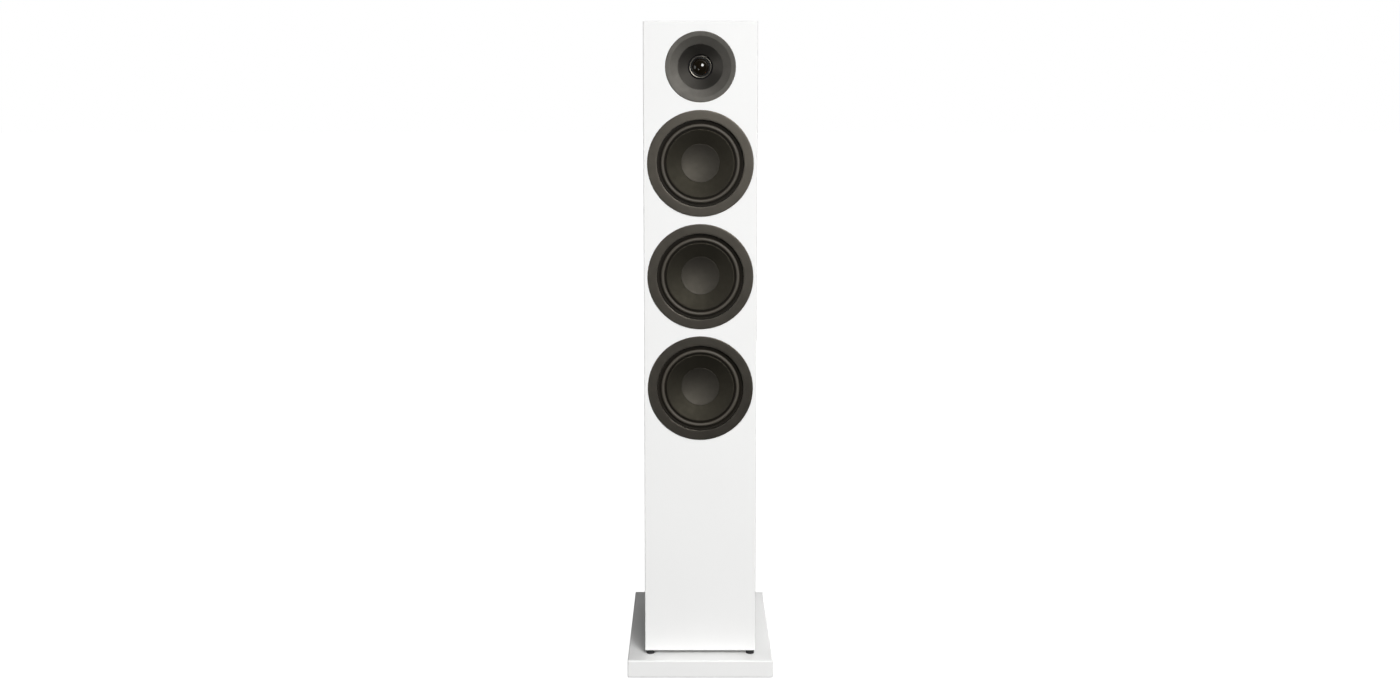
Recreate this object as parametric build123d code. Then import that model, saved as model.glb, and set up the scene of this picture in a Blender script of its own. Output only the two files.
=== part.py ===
"""Floorstanding loudspeaker: white lacquered column on a plinth, one waveguide tweeter over three woofers.

Frame: millimetres, +Z up, -Y is the listening side, origin on the floor at the middle of the plinth.
Every physical piece is its own solid in parts/NODE.step; identical small pieces share one node.
"""

from build123d import *
import math
import os

# ---------------------------------------------------------------- driving dimensions

CABINET_WIDTH = 190.0
CABINET_DEPTH = 300.0
CABINET_HEIGHT = 1074.0
BAFFLE_THICKNESS = 25.0
WALL_THICKNESS = 18.0  # sides and rear
END_THICKNESS = 22.0  # top and bottom
EDGE_RADIUS = 1.8  # lacquered outer edges

PLINTH_MARGIN = 29.0  # how far the plinth stands out all round
PLINTH_THICKNESS = 30.0
PLINTH_EDGE_RADIUS = 2.0
PLINTH_GAP = 7.0  # shadow gap under the cabinet
FOOT_HEIGHT = 8.0
FOOT_RADIUS = 15.0
FOOT_INSET = 40.0  # from the plinth's edges to a foot's middle

TWEETER_DROP = 75.0  # from the cabinet's top to the tweeter's axis
FIRST_WOOFER_DROP = 235.0
WOOFER_SPACING = 190.0
WOOFER_COUNT = 3

PORT_HEIGHT = 330.0  # above the floor
TERMINAL_HEIGHT = 180.0
POST_SPACING = 32.0

# ---------------------------------------------------------------- derived places

FRONT_Y = -CABINET_DEPTH / 2
REAR_Y = CABINET_DEPTH / 2
BAFFLE_BACK_Y = FRONT_Y + BAFFLE_THICKNESS
REAR_INNER_Y = REAR_Y - WALL_THICKNESS
INNER_DEPTH = REAR_INNER_Y - BAFFLE_BACK_Y
INNER_MIDDLE_Y = (REAR_INNER_Y + BAFFLE_BACK_Y) / 2
INNER_HALF_WIDTH = CABINET_WIDTH / 2 - WALL_THICKNESS

PLINTH_BOTTOM_Z = FOOT_HEIGHT
PLINTH_TOP_Z = PLINTH_BOTTOM_Z + PLINTH_THICKNESS
CABINET_BOTTOM_Z = PLINTH_TOP_Z + PLINTH_GAP
CABINET_TOP_Z = CABINET_BOTTOM_Z + CABINET_HEIGHT
FLOOR_PANEL_TOP_Z = CABINET_BOTTOM_Z + END_THICKNESS
TOP_PANEL_UNDER_Z = CABINET_TOP_Z - END_THICKNESS

TWEETER_Z = CABINET_TOP_Z - TWEETER_DROP
WOOFER_Z = [CABINET_TOP_Z - FIRST_WOOFER_DROP - WOOFER_SPACING * i for i in range(WOOFER_COUNT)]

# A driver is drawn with its axis on Z, its front at z = 0 and its back at negative z.
DRIVER_PLACES = {"tweeter": Location((0, FRONT_Y, TWEETER_Z), (90, 0, 0))}
for number, height in enumerate(WOOFER_Z, start=1):
    DRIVER_PLACES[f"woofer_{number}"] = Location((0, FRONT_Y, height), (90, 0, 0))
WOOFERS = [name for name in DRIVER_PLACES if name.startswith("woofer")]

# Rear fittings are drawn the same way, with z = 0 on the rear panel's outer face.
PORT_PLACE = Location((0, REAR_Y, PORT_HEIGHT), (-90, 0, 0))
TERMINAL_PLACE = Location((0, REAR_Y, TERMINAL_HEIGHT), (-90, 0, 0))

# ---------------------------------------------------------------- woofer: radius and height along its axis

RING_RADIUS = 88.4
RING_INNER_RADIUS = 72.5
RING_PROUD = 1.5
FLANGE_RADIUS = 87.5
FLANGE_FRONT = -1.5
FLANGE_BACK = -5.5
GASKET_THICKNESS = 1.0
WOOFER_REBATE_RADIUS = 89.0
WOOFER_HOLE_RADIUS = 74.8
WOOFER_SCREW_CIRCLE = 82.0
WOOFER_SCREW_COUNT = 6
LEDGE_Z = -4.3  # where the surround's feet and the cone's rim lie
LEDGE_RADIUS = 74.5
ROLL_OUTER_RADIUS = 69.8
ROLL_INNER_RADIUS = 59.4
ROLL_CREST = 1.0
RUBBER_THICKNESS = 0.8
CONE_RIM_RADIUS = 59.4
CONE_LIP_RADIUS = 56.3
CONE_NECK_RADIUS = 17.0
CONE_NECK_Z = -25.0
CONE_WAIST = (38.0, -13.3)  # a point half way down the cone's gentle curve
CONE_THICKNESS = 1.0
CAP_RADIUS = 32.0
CAP_RIM_Z = -15.6
CAP_DEPTH = 5.6
CAP_THICKNESS = 0.8
COIL_INNER_RADIUS = 16.5
COIL_FORMER_RADIUS = 17.0
COIL_OUTER_RADIUS = 17.9
COIL_BACK = -61.0
COIL_WINDING_FRONT = -47.0
SPIDER_Z = -33.5
SPIDER_THICKNESS = 0.6
SPIDER_INNER_RADIUS = 17.1
SPIDER_COLLAR_RADIUS = 19.5
SPIDER_WAVE_RADIUS = 44.5
SPIDER_OUTER_RADIUS = 50.0
SPIDER_WAVES = 10  # pleats
SPIDER_WAVE_HEIGHT = 1.6
BASKET_WALL_RADIUS = 48.0
BASKET_BACK = -50.0
BASKET_LEGS = 6
BASKET_LEG_WIDTH = 15.0
TOP_PLATE_BACK = -56.0
MAGNET_BACK = -74.0
YOKE_BACK = -82.0
POLE_RADIUS = 15.9
POLE_FRONT = -49.5
WOOFER_SCREW_SHANK = 2.0
WOOFER_SCREW_LENGTH = 18.0
TERMINAL_BOARD_FRONT = -50.0
TERMINAL_BOARD_BACK = -52.0
BLADE_LENGTH = 8.0
BLADE_OFFSET = 5.0
BLADE_AXIS_RADIUS = 60.0

# ---------------------------------------------------------------- tweeter

FLARE_RADIUS = 58.3
FLARE_INNER_RADIUS = 37.7
FLARE_PROUD = 1.0
FLARE_INNER_Z = -6.0
FACEPLATE_FRONT = -8.0
FACEPLATE_BACK = -11.0
THROAT_RADIUS = 20.8
THROAT_Z = -17.0
TWEETER_PLATE_Z = -20.0
TWEETER_REBATE_RADIUS = 58.8
TWEETER_GASKET = 0.5
TWEETER_HOLE_RADIUS = 46.5
TWEETER_SCREW_CIRCLE = 52.0
TWEETER_SCREW_COUNT = 4
DOME_RADIUS = 13.2
DOME_HEIGHT = 5.2
DOME_THICKNESS = 0.4
DOME_BASE_Z = -19.6
TWEETER_SCREW_SHANK = 1.6
TWEETER_SCREW_LENGTH = 14.0
CLAMP_OUTER_RADIUS = 18.4
CLAMP_INNER_RADIUS = 16.4
CLAMP_FRONT = -17.4
TWEETER_FOOT_TOP = -19.6
TWEETER_TERMINAL_FRONT = -38.0
TWEETER_TERMINAL_BACK = -40.0

# ---------------------------------------------------------------- boards, pads, bolts and spacers

BRACE_THICKNESS = 18.0
BRACE_WINDOW_HALF_WIDTH = 55.0
BRACE_BORDER = 27.0
BRACE_HEIGHTS = [
    WOOFER_Z[0] + WOOFER_SPACING / 2,
    WOOFER_Z[0] - WOOFER_SPACING / 2,
    WOOFER_Z[1] - WOOFER_SPACING / 2,
    PORT_HEIGHT + 70.0,
]
PAD_THICKNESS = 19.5
PAD_CLEARANCE = 3.0
PAD_PORT_RADIUS = 41.0
BOLT_PLACES = [(x, y) for x in (-55.0, 55.0) for y in (-105.0, 105.0)]
BOLT_RADIUS = 4.0
INSERT_RADIUS = 6.0
INSERT_LENGTH = 16.0
BOLT_HEAD_RADIUS = 6.5
BOLT_HEAD_HEIGHT = 8.0
BOLT_HEAD_POCKET = 9.0
BOLT_GRIP = 14.0  # thread inside the insert
SPACER_RADIUS = 7.0
SPACER_INSET = PLINTH_MARGIN + 9.0  # from the plinth's edges to a spacer's middle

# ---------------------------------------------------------------- rear fittings, as radius and height

PORT_RADIUS = 35.0
PORT_WALL = 2.5
PORT_FLARE = 12.0
PORT_INNER_FLARE = 10.0
PORT_LENGTH = 150.0
PORT_LEDGE_RADIUS = 47.5
PORT_FLANGE_RADIUS = 50.0
PORT_FLANGE_BACK = -2.0
PORT_FLANGE_FRONT = 0.5
TERMINAL_PLATE_SIZE = 92.0
TERMINAL_PLATE_BACK = -3.0
TERMINAL_PLATE_FRONT = 0.5
TERMINAL_OPENING = (66.0, 38.0)
TERMINAL_SCREW_OFFSET = 38.0
TERMINAL_SCREW_SHANK = 1.75
TERMINAL_SCREW_LENGTH = 15.0
STUD_RADIUS = 4.0
STUD_TIP = 23.5
STUD_TAIL = -30.0
STUD_HEX_RADIUS = 6.5
STUD_HEX_BACK = -9.0
BOSS_RADIUS = 9.5
BOSS_FRONT = 3.5
SOCKET_RADIUS = 2.05
SOCKET_DEPTH = 14.5
WIRE_HOLE_RADIUS = 1.6
WIRE_HOLE_Z = 6.3
WASHER_RADIUS = 8.5
WASHER_FRONT = 5.5
KNOB_RADIUS = 9.0
KNOB_FRONT = 22.5
KNOB_FLUTES = 12
POST_PLACES = {"red": Pos(POST_SPACING / 2, 0, 0), "black": Pos(-POST_SPACING / 2, 0, 0)}

# ---------------------------------------------------------------- small shared sizes, crossover and wiring

SCREW_FIT = 0.05  # radial room round a screw or pin in its hole
LEAD_RADIUS = 1.2
BOARD_Z = FLOOR_PANEL_TOP_Z + 8.0
BOARD_THICKNESS = 1.6
BOARD_TOP_Z = BOARD_Z + BOARD_THICKNESS
BOARD_SIZE = (120.0, 190.0)
BOARD_MIDDLE_Y = 20.0

STANDOFF_PLACES = [
    (sx * (BOARD_SIZE[0] / 2 - 7), BOARD_MIDDLE_Y + sy * (BOARD_SIZE[1] / 2 - 7))
    for sx in (-1, 1)
    for sy in (-1, 1)
]
STANDOFF_PIN_RADIUS = 1.6
COILS = [  # x, y, radius, height
    (-28.0, -42.0, 24.0, 22.0),
    (28.0, -42.0, 20.0, 18.0),
    (28.0, 12.0, 22.0, 26.0),
]
COIL_HOLE_RADIUS = 8.0
CAPACITORS = [  # x, y, radius, length
    (-38.0, 12.0, 9.0, 46.0),
    (-15.0, 12.0, 9.0, 46.0),
    (-26.0, 52.0, 7.5, 30.0),
]
RESISTORS = [(18.0, 60.0), (34.0, 60.0), (50.0, 60.0)]
RESISTOR_SIZE = (10.0, 44.0, 9.5)
RISER_X = [-52.0, -48.0, -44.0, -40.0]  # lowest woofer first, tweeter last
RISER_Y = {1: 82.0, -1: 76.0}  # the wire that ends on the upper blade is the rear one
LEAD_BEND = 30.0

NODES = {}


def keep(name, shape):
    """Files a node's solids under its name."""
    NODES[name] = shape


# ---------------------------------------------------------------- helpers


def block(low, high):
    """Box between two corners."""
    size = [high[i] - low[i] for i in range(3)]
    middle = [(high[i] + low[i]) / 2 for i in range(3)]
    return Pos(*middle) * Box(*size)


def turned(*edges):
    """Solid of revolution about Z from a closed chain of edges drawn as (radius, height)."""
    return revolve(Plane.XZ * make_face(Wire(list(edges))), axis=Axis.Z)


def turned_outline(*points):
    """Solid of revolution about Z from straight-sided corners given as (radius, height)."""
    corners = list(points)
    edges = [Line(a, b).edge() for a, b in zip(corners, corners[1:] + corners[:1])]
    return turned(*edges)


def straight(a, b):
    return Line(a, b).edge()


def arc(a, through, b):
    return ThreePointArc(a, through, b).edge()


def ring(inner, outer, low, high):
    """Flat ring about Z."""
    return turned_outline((inner, low), (outer, low), (outer, high), (inner, high))


def disc(radius, low, high):
    return Pos(0, 0, (low + high) / 2) * Cylinder(radius, high - low)


def shifted(point, drop):
    """The same (radius, height) point, further back along the axis."""
    return (point[0], point[1] - drop)


def spherical_shell(radius, rim_z, height, thickness):
    """Shell of a sphere about Z between its rim and its apex; a negative height makes a dish."""
    sphere_radius = (radius**2 + height**2) / (2 * abs(height))
    half_rise = math.sqrt(sphere_radius**2 - (radius / 2) ** 2) - (sphere_radius - abs(height))
    apex = (0, rim_z + height)
    rim = (radius, rim_z)
    halfway = (radius / 2, rim_z + math.copysign(half_rise, height))
    return turned(
        arc(rim, halfway, apex),
        straight(apex, shifted(apex, thickness)),
        arc(shifted(apex, thickness), shifted(halfway, thickness), shifted(rim, thickness)),
        straight(shifted(rim, thickness), rim),
    )


def circle_places(radius, count, first_degrees=0.0):
    """Places spread evenly round Z, each turned to face outwards."""
    step = 360.0 / count
    return [Rot(0, 0, first_degrees + step * i) * Pos(radius, 0, 0) for i in range(count)]


def countersunk_screw(shank, head, head_depth, length):
    """Screw with its flat head's top at z = 0 and its tip at -length."""
    tip = shank * 0.6
    return turned_outline(
        (0, 0), (head, 0), (shank, -head_depth), (shank, -length + 2), (tip, -length), (0, -length)
    )


def group(shapes):
    """One node that holds several separate solids."""
    solids = [solid for shape in shapes for solid in shape.solids()]
    return solids[0] if len(solids) == 1 else Compound(children=solids)


# ---------------------------------------------------------------- cabinet


def panel_with_soft_edges(low, high, soft):
    """Board whose edges that pass the test soft(edge centre) are rounded."""
    board = block(low, high)
    return fillet([edge for edge in board.edges() if soft(edge.center())], EDGE_RADIUS)


def make_baffle():
    board = panel_with_soft_edges(
        (-CABINET_WIDTH / 2, FRONT_Y, CABINET_BOTTOM_Z),
        (CABINET_WIDTH / 2, BAFFLE_BACK_Y, CABINET_TOP_Z),
        lambda middle: middle.Y < BAFFLE_BACK_Y - 1,
    )
    for name in WOOFERS:
        board -= DRIVER_PLACES[name] * woofer_cutout()
    return board - DRIVER_PLACES["tweeter"] * tweeter_cutout()


def woofer_cutout():
    rebate = disc(WOOFER_REBATE_RADIUS, FLANGE_BACK - GASKET_THICKNESS, 2.0)
    hole = disc(WOOFER_HOLE_RADIUS, -BAFFLE_THICKNESS - 1, 0)
    relief = turned_outline(
        (0, -BAFFLE_THICKNESS - 1),
        (WOOFER_HOLE_RADIUS + 9, -BAFFLE_THICKNESS - 1),
        (WOOFER_HOLE_RADIUS + 8, -BAFFLE_THICKNESS),
        (WOOFER_HOLE_RADIUS, -BAFFLE_THICKNESS + 8),
        (0, -BAFFLE_THICKNESS + 8),
    )
    cut = rebate + hole + relief
    for place in woofer_screw_places():
        cut += place * disc(WOOFER_SCREW_SHANK + SCREW_FIT, -WOOFER_SCREW_LENGTH - 2, 0)
    return cut


def woofer_screw_places():
    return circle_places(WOOFER_SCREW_CIRCLE, WOOFER_SCREW_COUNT, 30.0)


def tweeter_screw_places():
    return circle_places(TWEETER_SCREW_CIRCLE, TWEETER_SCREW_COUNT, 45.0)


def tweeter_cutout():
    rebate = disc(TWEETER_REBATE_RADIUS, FACEPLATE_BACK - TWEETER_GASKET, 2.0)
    cut = rebate + disc(TWEETER_HOLE_RADIUS, -BAFFLE_THICKNESS - 1, 0)
    depth = FACEPLATE_FRONT - TWEETER_SCREW_LENGTH
    for place in tweeter_screw_places():
        cut += place * disc(TWEETER_SCREW_SHANK + SCREW_FIT, depth - 1, 0)
    return cut


def terminal_screw_places():
    offset = TERMINAL_SCREW_OFFSET
    return [Pos(x, y, TERMINAL_PLATE_FRONT) for x in (-offset, offset) for y in (-offset, offset)]


def make_rear_panel():
    board = panel_with_soft_edges(
        (-CABINET_WIDTH / 2, REAR_INNER_Y, CABINET_BOTTOM_Z),
        (CABINET_WIDTH / 2, REAR_Y, CABINET_TOP_Z),
        lambda middle: middle.Y > REAR_INNER_Y + 1,
    )
    port_hole = disc(PORT_LEDGE_RADIUS, -WALL_THICKNESS - 1, 1)
    port_rebate = disc(PORT_FLANGE_RADIUS + 0.5, PORT_FLANGE_BACK, 1)
    board -= PORT_PLACE * (port_hole + port_rebate)
    side = TERMINAL_PLATE_SIZE + 0.6
    rebate = Pos(0, 0, TERMINAL_PLATE_BACK) * extrude(RectangleRounded(side, side, 6.3), 5)
    opening = extrude(RectangleRounded(*TERMINAL_OPENING, 8), -WALL_THICKNESS - 1)
    cut = rebate + opening
    for place in terminal_screw_places():
        cut += place * disc(TERMINAL_SCREW_SHANK + SCREW_FIT, -TERMINAL_SCREW_LENGTH - 1, 0)
    return board - TERMINAL_PLACE * cut


def make_side(sign):
    outer = sign * CABINET_WIDTH / 2
    inner = sign * INNER_HALF_WIDTH
    return panel_with_soft_edges(
        (min(outer, inner), BAFFLE_BACK_Y, CABINET_BOTTOM_Z),
        (max(outer, inner), REAR_INNER_Y, CABINET_TOP_Z),
        lambda middle: abs(middle.X - outer) < 0.1 and abs(middle.Y - INNER_MIDDLE_Y) < 0.1,
    )


def inner_board(low_z, high_z):
    """Board that fills the cabinet's inside from wall to wall."""
    return block(
        (-INNER_HALF_WIDTH, BAFFLE_BACK_Y, low_z), (INNER_HALF_WIDTH, REAR_INNER_Y, high_z)
    )


def make_bottom_panel():
    board = inner_board(CABINET_BOTTOM_Z, FLOOR_PANEL_TOP_Z)
    pocket_top = CABINET_BOTTOM_Z + INSERT_LENGTH
    for x, y in BOLT_PLACES:
        board -= Pos(x, y, 0) * disc(INSERT_RADIUS + SCREW_FIT, CABINET_BOTTOM_Z - 1, pocket_top)
    return board


def make_brace(middle_z):
    """Shelf with two rounded windows either side of a cross bar."""
    board = inner_board(middle_z - BRACE_THICKNESS / 2, middle_z + BRACE_THICKNESS / 2)
    window_depth = (INNER_DEPTH - 2 * BRACE_BORDER - BRACE_THICKNESS) / 2
    window = RectangleRounded(2 * BRACE_WINDOW_HALF_WIDTH, window_depth, 16)
    window_cut = extrude(window, BRACE_THICKNESS + 2)
    offset = (window_depth + BRACE_THICKNESS) / 2
    for sign in (-1, 1):
        place = Pos(0, INNER_MIDDLE_Y + sign * offset, middle_z - BRACE_THICKNESS / 2 - 1)
        board -= place * window_cut
    return board


def make_damping_pads():
    """Wadding pads on the rear wall, one in each bay between the braces."""
    edges = [TOP_PANEL_UNDER_Z]
    for z in BRACE_HEIGHTS:
        edges += [z + BRACE_THICKNESS / 2, z - BRACE_THICKNESS / 2]
    edges.append(TERMINAL_HEIGHT + TERMINAL_PLATE_SIZE / 2)
    half_width = INNER_HALF_WIDTH - PAD_CLEARANCE
    front_y = REAR_INNER_Y - PAD_THICKNESS
    pads = []
    for top_z, low_z in zip(edges[0::2], edges[1::2]):
        pad = block(
            (-half_width, front_y, low_z + PAD_CLEARANCE),
            (half_width, REAR_INNER_Y - 0.5, top_z - PAD_CLEARANCE),
        )
        pads.append(pad)
    pads[-1] -= PORT_PLACE * disc(PAD_PORT_RADIUS, -WALL_THICKNESS - PAD_THICKNESS - 1, 0)
    return group(pads)


# ---------------------------------------------------------------- plinth


def plinth_corner_places(inset):
    x = CABINET_WIDTH / 2 + PLINTH_MARGIN - inset
    y = CABINET_DEPTH / 2 + PLINTH_MARGIN - inset
    return [(sx * x, sy * y) for sx in (-1, 1) for sy in (-1, 1)]


def make_plinth():
    half_x = CABINET_WIDTH / 2 + PLINTH_MARGIN
    half_y = CABINET_DEPTH / 2 + PLINTH_MARGIN
    board = block((-half_x, -half_y, PLINTH_BOTTOM_Z), (half_x, half_y, PLINTH_TOP_Z))
    board = fillet(board.edges(), PLINTH_EDGE_RADIUS)
    pocket_top = PLINTH_BOTTOM_Z + BOLT_HEAD_POCKET
    for x, y in BOLT_PLACES:
        board -= Pos(x, y, 0) * disc(BOLT_HEAD_RADIUS + 1, PLINTH_BOTTOM_Z - 1, pocket_top)
        board -= Pos(x, y, 0) * disc(BOLT_RADIUS + 0.3, PLINTH_BOTTOM_Z, PLINTH_TOP_Z + 1)
    return board


def make_bolt():
    """Socket head bolt with its head's shoulder at z = 0, pointing up."""
    length = PLINTH_THICKNESS - BOLT_HEAD_POCKET + PLINTH_GAP + BOLT_GRIP
    bolt = disc(BOLT_RADIUS, 0, length) + disc(BOLT_HEAD_RADIUS, -BOLT_HEAD_HEIGHT, 0)
    socket = Pos(0, 0, -BOLT_HEAD_HEIGHT) * extrude(RegularPolygon(3.4, 6), 4)
    return bolt - socket


def make_foot():
    """Round rubber foot, slightly tapered, resting on z = 0."""
    return turned_outline(
        (0, 0),
        (FOOT_RADIUS - 2, 0),
        (FOOT_RADIUS - 1, 1),
        (FOOT_RADIUS, FOOT_HEIGHT),
        (0, FOOT_HEIGHT),
    )


# ---------------------------------------------------------------- woofer


def make_trim_ring():
    """Flat cover ring that hides the flange and its screws, with a skirt that holds the surround."""
    front = RING_PROUD
    skirt_back = LEDGE_Z + RUBBER_THICKNESS
    skirt_radius = LEDGE_RADIUS - 0.2
    return turned_outline(
        (RING_INNER_RADIUS, skirt_back),
        (skirt_radius, skirt_back),
        (skirt_radius, FLANGE_FRONT),
        (RING_RADIUS, FLANGE_FRONT),
        (RING_RADIUS, front - 0.8),
        (RING_RADIUS - 0.8, front),
        (RING_INNER_RADIUS + 0.9, front),
        (RING_INNER_RADIUS, front - 0.9),
    )


def make_basket():
    """Cast frame: flange, surround ledge, sloping wall with windows, spider ledge and base."""
    wall_top = -7.5
    frame = turned_outline(
        (FLANGE_RADIUS, FLANGE_FRONT),
        (LEDGE_RADIUS, FLANGE_FRONT),
        (LEDGE_RADIUS, LEDGE_Z),
        (ROLL_OUTER_RADIUS, LEDGE_Z),
        (ROLL_OUTER_RADIUS, wall_top),
        (SPIDER_OUTER_RADIUS + 0.5, SPIDER_Z),
        (SPIDER_WAVE_RADIUS + 0.5, SPIDER_Z),
        (SPIDER_WAVE_RADIUS + 0.5, BASKET_BACK + 4),
        (COIL_OUTER_RADIUS + 1.6, BASKET_BACK + 4),
        (COIL_OUTER_RADIUS + 1.6, BASKET_BACK),
        (BASKET_WALL_RADIUS, BASKET_BACK),
        (BASKET_WALL_RADIUS, SPIDER_Z - 5),
        (SPIDER_OUTER_RADIUS + 3.5, SPIDER_Z),
        (WOOFER_HOLE_RADIUS - 0.8, wall_top - 1),
        (WOOFER_HOLE_RADIUS - 0.8, FLANGE_BACK),
        (FLANGE_RADIUS, FLANGE_BACK),
    )
    frame -= basket_windows(wall_top)
    for place in woofer_screw_places():
        frame -= place * Pos(0, 0, FLANGE_FRONT) * woofer_screw(SCREW_FIT)
    return frame


def basket_windows(wall_top):
    """What the windows take away: a ring of the sloping wall, less the legs left standing."""
    high = wall_top - 3
    low = SPIDER_Z + 3.5
    gap = ring(SPIDER_WAVE_RADIUS + 1, WOOFER_HOLE_RADIUS + 2, low, high)
    reach = WOOFER_HOLE_RADIUS + 4
    leg = block((0, -BASKET_LEG_WIDTH / 2, low - 1), (reach, BASKET_LEG_WIDTH / 2, high + 1))
    for place in circle_places(0, BASKET_LEGS, 30.0):
        gap -= place * leg
    return gap


def woofer_screw(room=0.0):
    """Countersunk wood screw, or with room the hole that it needs."""
    shank = WOOFER_SCREW_SHANK + room
    return countersunk_screw(shank, 2 * WOOFER_SCREW_SHANK + room, 2.2, WOOFER_SCREW_LENGTH)


def make_woofer_gasket():
    back = FLANGE_BACK - GASKET_THICKNESS
    gasket = ring(WOOFER_HOLE_RADIUS + 1, FLANGE_RADIUS - 1.5, back, FLANGE_BACK)
    for place in woofer_screw_places():
        gasket -= place * disc(WOOFER_SCREW_SHANK + SCREW_FIT, back - 1, FLANGE_BACK + 1)
    return gasket


def make_woofer_surround():
    """Half-roll rubber ring: outer foot on the basket's ledge, roll, inner foot on the cone's rim."""
    top = LEDGE_Z + RUBBER_THICKNESS
    middle = (ROLL_OUTER_RADIUS + ROLL_INNER_RADIUS) / 2
    foot_outer = LEDGE_RADIUS - 0.3
    foot_inner = CONE_LIP_RADIUS + 0.6
    inside = RUBBER_THICKNESS
    return turned(
        straight((foot_outer, LEDGE_Z), (foot_outer, top)),
        straight((foot_outer, top), (ROLL_OUTER_RADIUS, top)),
        arc((ROLL_OUTER_RADIUS, top), (middle, ROLL_CREST), (ROLL_INNER_RADIUS, top)),
        straight((ROLL_INNER_RADIUS, top), (foot_inner, top)),
        straight((foot_inner, top), (foot_inner, LEDGE_Z)),
        straight((foot_inner, LEDGE_Z), (ROLL_INNER_RADIUS + inside, LEDGE_Z)),
        arc(
            (ROLL_INNER_RADIUS + inside, LEDGE_Z),
            (middle, ROLL_CREST - inside),
            (ROLL_OUTER_RADIUS - inside, LEDGE_Z),
        ),
        straight((ROLL_OUTER_RADIUS - inside, LEDGE_Z), (foot_outer, LEDGE_Z)),
    )


def make_cone():
    """Gently flared cone with a flat glued rim and a short neck on the coil former."""
    rim = (CONE_RIM_RADIUS, LEDGE_Z)
    lip = (CONE_LIP_RADIUS, LEDGE_Z)
    neck = (CONE_NECK_RADIUS, CONE_NECK_Z)
    back = CONE_THICKNESS
    return turned(
        straight(rim, lip),
        arc(lip, CONE_WAIST, neck),
        straight(neck, shifted(neck, back)),
        arc(shifted(neck, back), shifted(CONE_WAIST, back), shifted(lip, back)),
        straight(shifted(lip, back), shifted(rim, back)),
        straight(shifted(rim, back), rim),
    )


def make_dust_cap():
    """Concave dish glued on the cone's face."""
    return spherical_shell(CAP_RADIUS, CAP_RIM_Z, -CAP_DEPTH, CAP_THICKNESS)


def make_woofer_coil():
    """Coil former with its winding at the back end."""
    former_front = CONE_NECK_Z + 0.5
    return turned_outline(
        (COIL_INNER_RADIUS, COIL_BACK),
        (COIL_OUTER_RADIUS, COIL_BACK),
        (COIL_OUTER_RADIUS, COIL_WINDING_FRONT),
        (COIL_FORMER_RADIUS, COIL_WINDING_FRONT),
        (COIL_FORMER_RADIUS, former_front),
        (COIL_INNER_RADIUS, former_front),
    )


def make_spider():
    """Corrugated cloth disc that centres the coil: collar, pleats in and out, flat outer foot."""
    top = SPIDER_Z + SPIDER_THICKNESS
    half_wave = (SPIDER_WAVE_RADIUS - SPIDER_COLLAR_RADIUS) / SPIDER_WAVES
    pleats = []
    for i in range(SPIDER_WAVES):
        offset = SPIDER_WAVE_HEIGHT * (1 if i % 2 else -1)
        for share in (0.3, 0.7):
            pleats.append((SPIDER_COLLAR_RADIUS + half_wave * (i + share), offset))
    return turned_outline(
        (SPIDER_INNER_RADIUS, SPIDER_Z),
        (SPIDER_INNER_RADIUS, top),
        (SPIDER_COLLAR_RADIUS, top),
        *[(radius, top + offset) for radius, offset in pleats],
        (SPIDER_WAVE_RADIUS, top),
        (SPIDER_OUTER_RADIUS, top),
        (SPIDER_OUTER_RADIUS, SPIDER_Z),
        (SPIDER_WAVE_RADIUS, SPIDER_Z),
        *[(radius, SPIDER_Z + offset) for radius, offset in reversed(pleats)],
        (SPIDER_COLLAR_RADIUS, SPIDER_Z),
    )


def make_yoke(plate_radius, pole_radius, vent_radius, pole_front, plate_front, back):
    """Steel back plate and pole in one piece, with a vent down its middle."""
    return turned_outline(
        (vent_radius, back),
        (plate_radius - 1.5, back),
        (plate_radius, back + 1.5),
        (plate_radius, plate_front),
        (pole_radius, plate_front),
        (pole_radius, pole_front),
        (vent_radius, pole_front),
    )


def make_woofer_terminals():
    """Small board on the basket's side with two solder blades."""
    half_height = BLADE_OFFSET + 4
    board = block(
        (-BLADE_AXIS_RADIUS - 4, -half_height, TERMINAL_BOARD_BACK),
        (-BASKET_WALL_RADIUS - 0.1, half_height, TERMINAL_BOARD_FRONT),
    )
    return [board] + solder_blades(-BLADE_AXIS_RADIUS, TERMINAL_BOARD_BACK)


def solder_blades(x, front):
    """Two blades that point back from a board, above and below its middle."""
    blades = []
    for sign in (-1, 1):
        y = sign * BLADE_OFFSET
        blades.append(block((x - 0.4, y - 1.4, front - BLADE_LENGTH), (x + 0.4, y + 1.4, front)))
    return blades


# ---------------------------------------------------------------- tweeter


def make_flare():
    """Outer cover of the waveguide: a shallow dished ring on a short outer wall."""
    wall = 2.4
    inner_back = FACEPLATE_FRONT
    lip = (FLARE_RADIUS - 1.7, FLARE_PROUD)
    inner_edge = (FLARE_INNER_RADIUS, FLARE_INNER_Z)
    return turned(
        straight((FLARE_RADIUS, inner_back), (FLARE_RADIUS, FLARE_PROUD - 0.8)),
        straight((FLARE_RADIUS, FLARE_PROUD - 0.8), (FLARE_RADIUS - 0.8, FLARE_PROUD)),
        straight((FLARE_RADIUS - 0.8, FLARE_PROUD), lip),
        arc(lip, (46.6, -3.2), inner_edge),
        straight(inner_edge, (FLARE_INNER_RADIUS, inner_back)),
        straight((FLARE_INNER_RADIUS, inner_back), (FLARE_INNER_RADIUS + wall, inner_back)),
        arc((FLARE_INNER_RADIUS + wall, inner_back), (48.0, -5.6), (FLARE_RADIUS - wall, -1.9)),
        straight((FLARE_RADIUS - wall, -1.9), (FLARE_RADIUS - wall, inner_back)),
        straight((FLARE_RADIUS - wall, inner_back), (FLARE_RADIUS, inner_back)),
    )


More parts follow.
